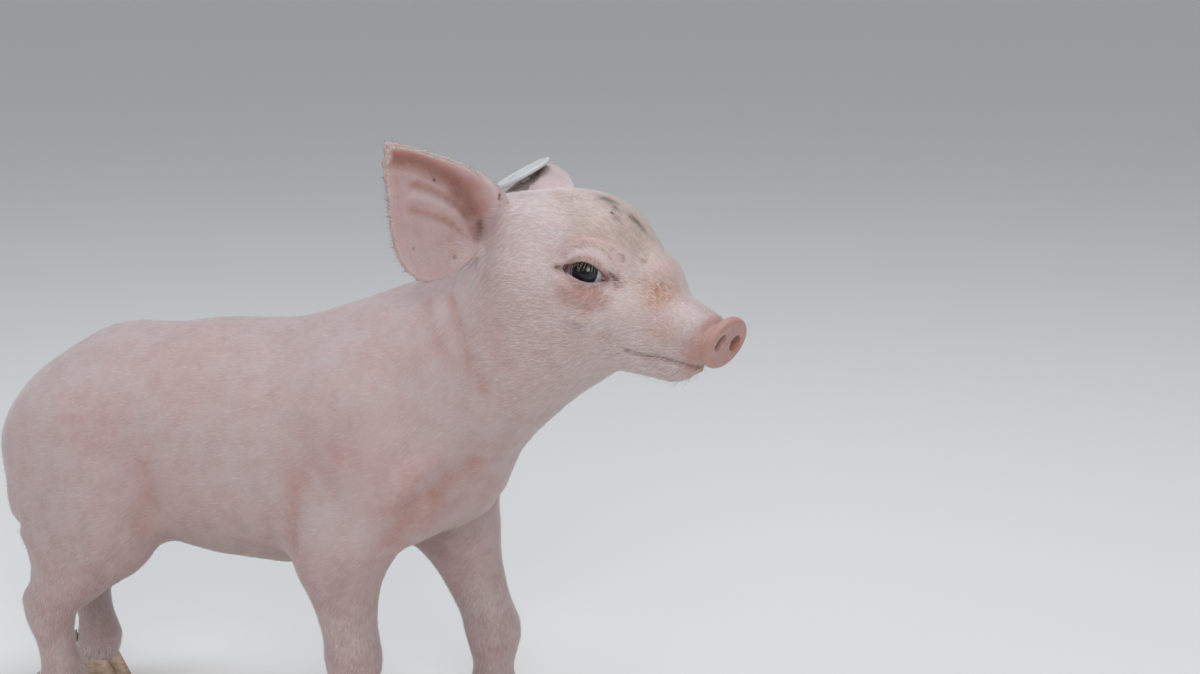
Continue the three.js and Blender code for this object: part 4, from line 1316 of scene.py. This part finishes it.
ringShape = np.array([[0, 0.6], [-1, -0.3], [1, -0.3]])
patchShape = np.array([[-0.5, -0.5], [0.5, -0.5], [0, -0.3], [-0.4, 0.05], [0.4, 0.05], [0, 0.25], [0, 0.5]])
tuftFaces = [[0, 1, 2]]
for corner in range(3):
    following = (corner + 1) % 3
    tuftFaces += [[following + 3, following, corner], [corner + 3, following + 3, corner]]
    tuftFaces += [[6, following + 3, corner + 3]]
tuftFaces = np.array(tuftFaces)


def laidOn(points, reach=0.7):
    # The nearest places on the skin, or the same places where it is further off than the reach, in mm.
    nearest = np.array([skinTree.find_nearest(Vector(point))[0] for point in points.tolist()])
    close = np.linalg.norm(nearest - points, axis=1) < reach * mm
    return np.where(close[:, None], nearest, points)


def tufts(name, material, roots, facing, way, length, width, lift, masks, bend=0.5, lying=True):
    # Each tuft is a slim three-sided spike: a ring in the skin, a ring half way and its tip.
    across = unit(np.cross(way, facing))
    length, width = length * mm, width * mm
    rise, run = np.sin(np.radians(lift)), np.cos(np.radians(lift))
    rings = []
    for share, girth in ((0.0, 1.0), (0.5, 0.8), (1.0, 0.0)):
        height = length * (rise * share - bend * rise * share**2) - coat["sink"] * mm * (1 - share) ** 2
        middle = roots + (length * run * share)[:, None] * way
        middle = (laidOn(middle) if lying and share else middle) + height[:, None] * facing
        for x, y in ringShape if girth else ringShape[:1]:
            rings.append(middle + 0.5 * girth * width[:, None] * (x * across + y * facing))
    points = np.stack(rings, axis=1).reshape(-1, 3)
    faces = (tuftFaces[None] + 7 * np.arange(len(roots))[:, None, None]).reshape(-1, 3)
    uv = unwrapPlaces(roots, unwrap)
    mesh = meshFrom(name, points, faces, (uv[:, None] + coat["patch"] * patchShape[None]).reshape(-1, 2))
    mesh.normals_split_custom_set_from_vertices(np.repeat(facing, 7, axis=0))  # lit as the skin under it is
    for key, values in masks.items():
        addMask(mesh, key, np.repeat(values, 7))
    mesh.materials.append(material)
    piece = linked(name, mesh)
    piece.visible_shadow = False  # fine pale hair lets light through
    piece.visible_diffuse = False
    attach(piece, "root")


def scattered(faceShare, count, draw):
    # Roots spread over the skin in step with each face's area and share.
    chance = faceAreas * faceShare
    picked = draw.choice(len(chance), count, p=chance / chance.sum())
    first, second = draw.random(count), draw.random(count)
    over = first + second > 1
    first[over], second[over] = 1 - first[over], 1 - second[over]
    share = np.column_stack([1 - first - second, first, second])
    roots = (corners[picked] * share[:, :, None]).sum(1)
    facing = unit((skinNormals[skinTriangles[picked]] * share[:, :, None]).sum(1))
    return roots, facing


def strayed(way, facing, spread, draw):
    return unit(way + draw.normal(0, spread, len(way))[:, None] * np.cross(way, facing))


coatMaterial, board, shader = newMaterial("piglet_coat", {"Roughness": 0.5})
tone = hideOn(board, board.place())
white = board.blend(board.mask("creamHair"), (0.8, 0.75, 0.73, 1), (0.68, 0.6, 0.49, 1))
board.link(board.blend(board.mask("hairShade"), tone, white), shader["Base Color"])

unwrap = unwrapped(skinMesh, coat["proxyTriangles"])
print("skin unwrapped")
draw = np.random.default_rng(coat["seed"])
faceDensity = coatValue(kindShares(faceMiddles), "density")
for name, picked in coatFaces.items():
    share = picked * faceDensity
    for side in sides.values():
        share *= eyeGap(headLocal, side) > coat["socket"]
    share *= headLocal[:, 0] < coat["disc"]
    share *= 1 + 1.6 * soft((coat["clawTop"] - faceMiddles[:, 2]) / coat["clawFade"])
    count = int(min(coat["mostTufts"], (faceAreas * share).sum() / mm**2))
    print(name, count, "tufts on", int((faceAreas * picked).sum() / mm**2), "square mm")
    count = count // 1
    roots, facing = scattered(share, count, draw)
    way = strayed(lieOf(roots, facing), facing, coat["wander"], draw)
    shares = kindShares(roots)
    local = headPlaces(roots)
    coronet = soft((coat["clawTop"] - roots[:, 2]) / coat["clawFade"])
    tragus = spotMask(earPlaces(roots, "right")[:, :2], [7, 26], 13, 1.0) * (shares["ears"] > 0.1)
    length = coatValue(shares, "length") * draw.uniform(*coat["lengths"], count)
    length *= 1 - 0.45 * soft((local[:, 0] - 10) / 40) * (np.abs(local[:, 1]) < 40)  # short on the muzzle
    length *= 1 - 0.3 * soft((0.05 - roots[:, 2]) / 0.02)  # and on the pasterns
    length *= 1 + 0.7 * coronet
    length *= 1 + 1.0 * tragus
    width = coatValue(shares, "width") * draw.uniform(*coat["widths"], count)
    lift = coatValue(shares, "lift") * draw.uniform(*coat["lifts"], count) * (1 + 0.8 * coronet)
    masks = markings(roots, facing)
    shade = coatValue(shares, "white") + 0.3 * coronet + 0.5 * tragus + draw.normal(0, 0.12, count)
    # Hair darkens over dark marks and over the flush, so the painted shade of hollows and creases shows through it
    # too.
    masks["hairShade"] = np.clip(shade, 0, 1) * ((1 - 0.9 * masks["dark"]) * (1 - 0.6 * masks["flush"]))
    masks["creamHair"] = soft((local[:, 0] + 40) / 40) * soft((local[:, 2] - 5) / 12)
    tufts(name, coatMaterial, roots, facing, way, length, width, lift, masks)

# Lashes curve out and down from the upper lids.
lashes = {"count": 24, "length": 4.2, "width": 0.065, "lift": -8.0, "bend": -0.9}
lashMaterial, board, shader = newMaterial("lash_hair", {"Roughness": 0.4, "Base Color": (0.78, 0.6, 0.32, 1)})
strands = []
for side in sides.values():
    share = np.linspace(0.12, 0.88, lashes["count"]) + draw.uniform(-0.012, 0.012, lashes["count"])
    spots = lidOpening(steps=40)[(share * 39).astype(int)]
    ball = np.sqrt(np.maximum(9.1**2 - (spots**2).sum(1), 18))
    roots = fromEye(np.column_stack([spots[:, 0], spots[:, 1] + 0.2, ball + 0.1]), side)
    axes = (fromEye(np.eye(3), side) - fromEye([0, 0, 0], side)) / mm
    fan = (share - 0.5) * 0.9 + draw.normal(0, 0.12, lashes["count"])
    way = unit(np.column_stack([0.8 * fan, np.full(len(fan), -0.75), np.full(len(fan), 0.6)]) @ axes)
    up = unit(axes[1] - (way @ axes[1])[:, None] * way)
    strands.append((roots, up, way, lashes["length"] * draw.uniform(0.4, 1.15, len(share))))
roots, up, way, length = (np.concatenate(part) for part in zip(*strands))
width, lift = np.full(len(roots), lashes["width"]), np.full(len(roots), lashes["lift"])
tufts("lashes", lashMaterial, roots, up, way, length, width, lift, {}, lashes["bend"], False)

# Whiskers stand out on the muzzle and chin.
whiskers = {"count": 220, "length": 9.0, "width": 0.13, "lift": 34, "dark": 0.12, "wander": 0.35}
count = whiskers["count"]
muzzleShare = soft((headLocal[:, 0] - 22) / 18) * soft((56 - headLocal[:, 0]) / 3) * soft((-6 - headLocal[:, 2]) / 8)
roots, facing = scattered(muzzleShare * onHeadFaces, count, draw)
way = strayed(lieOf(roots, facing), facing, whiskers["wander"], draw)
length = whiskers["length"] * draw.uniform(0.4, 1.2, count)
lift = whiskers["lift"] * draw.uniform(0.4, 1.5, count)
masks = markings(roots, facing)
masks["hairShade"] = np.where(draw.random(count) < whiskers["dark"], 0.0, 0.9)
masks["dark"] = np.where(masks["hairShade"] == 0, 1.0, masks["dark"])
masks["creamHair"] = np.zeros(count)
tufts("whiskers", coatMaterial, roots, facing, way, length, np.full(count, whiskers["width"]), lift, masks)
print("coat done")
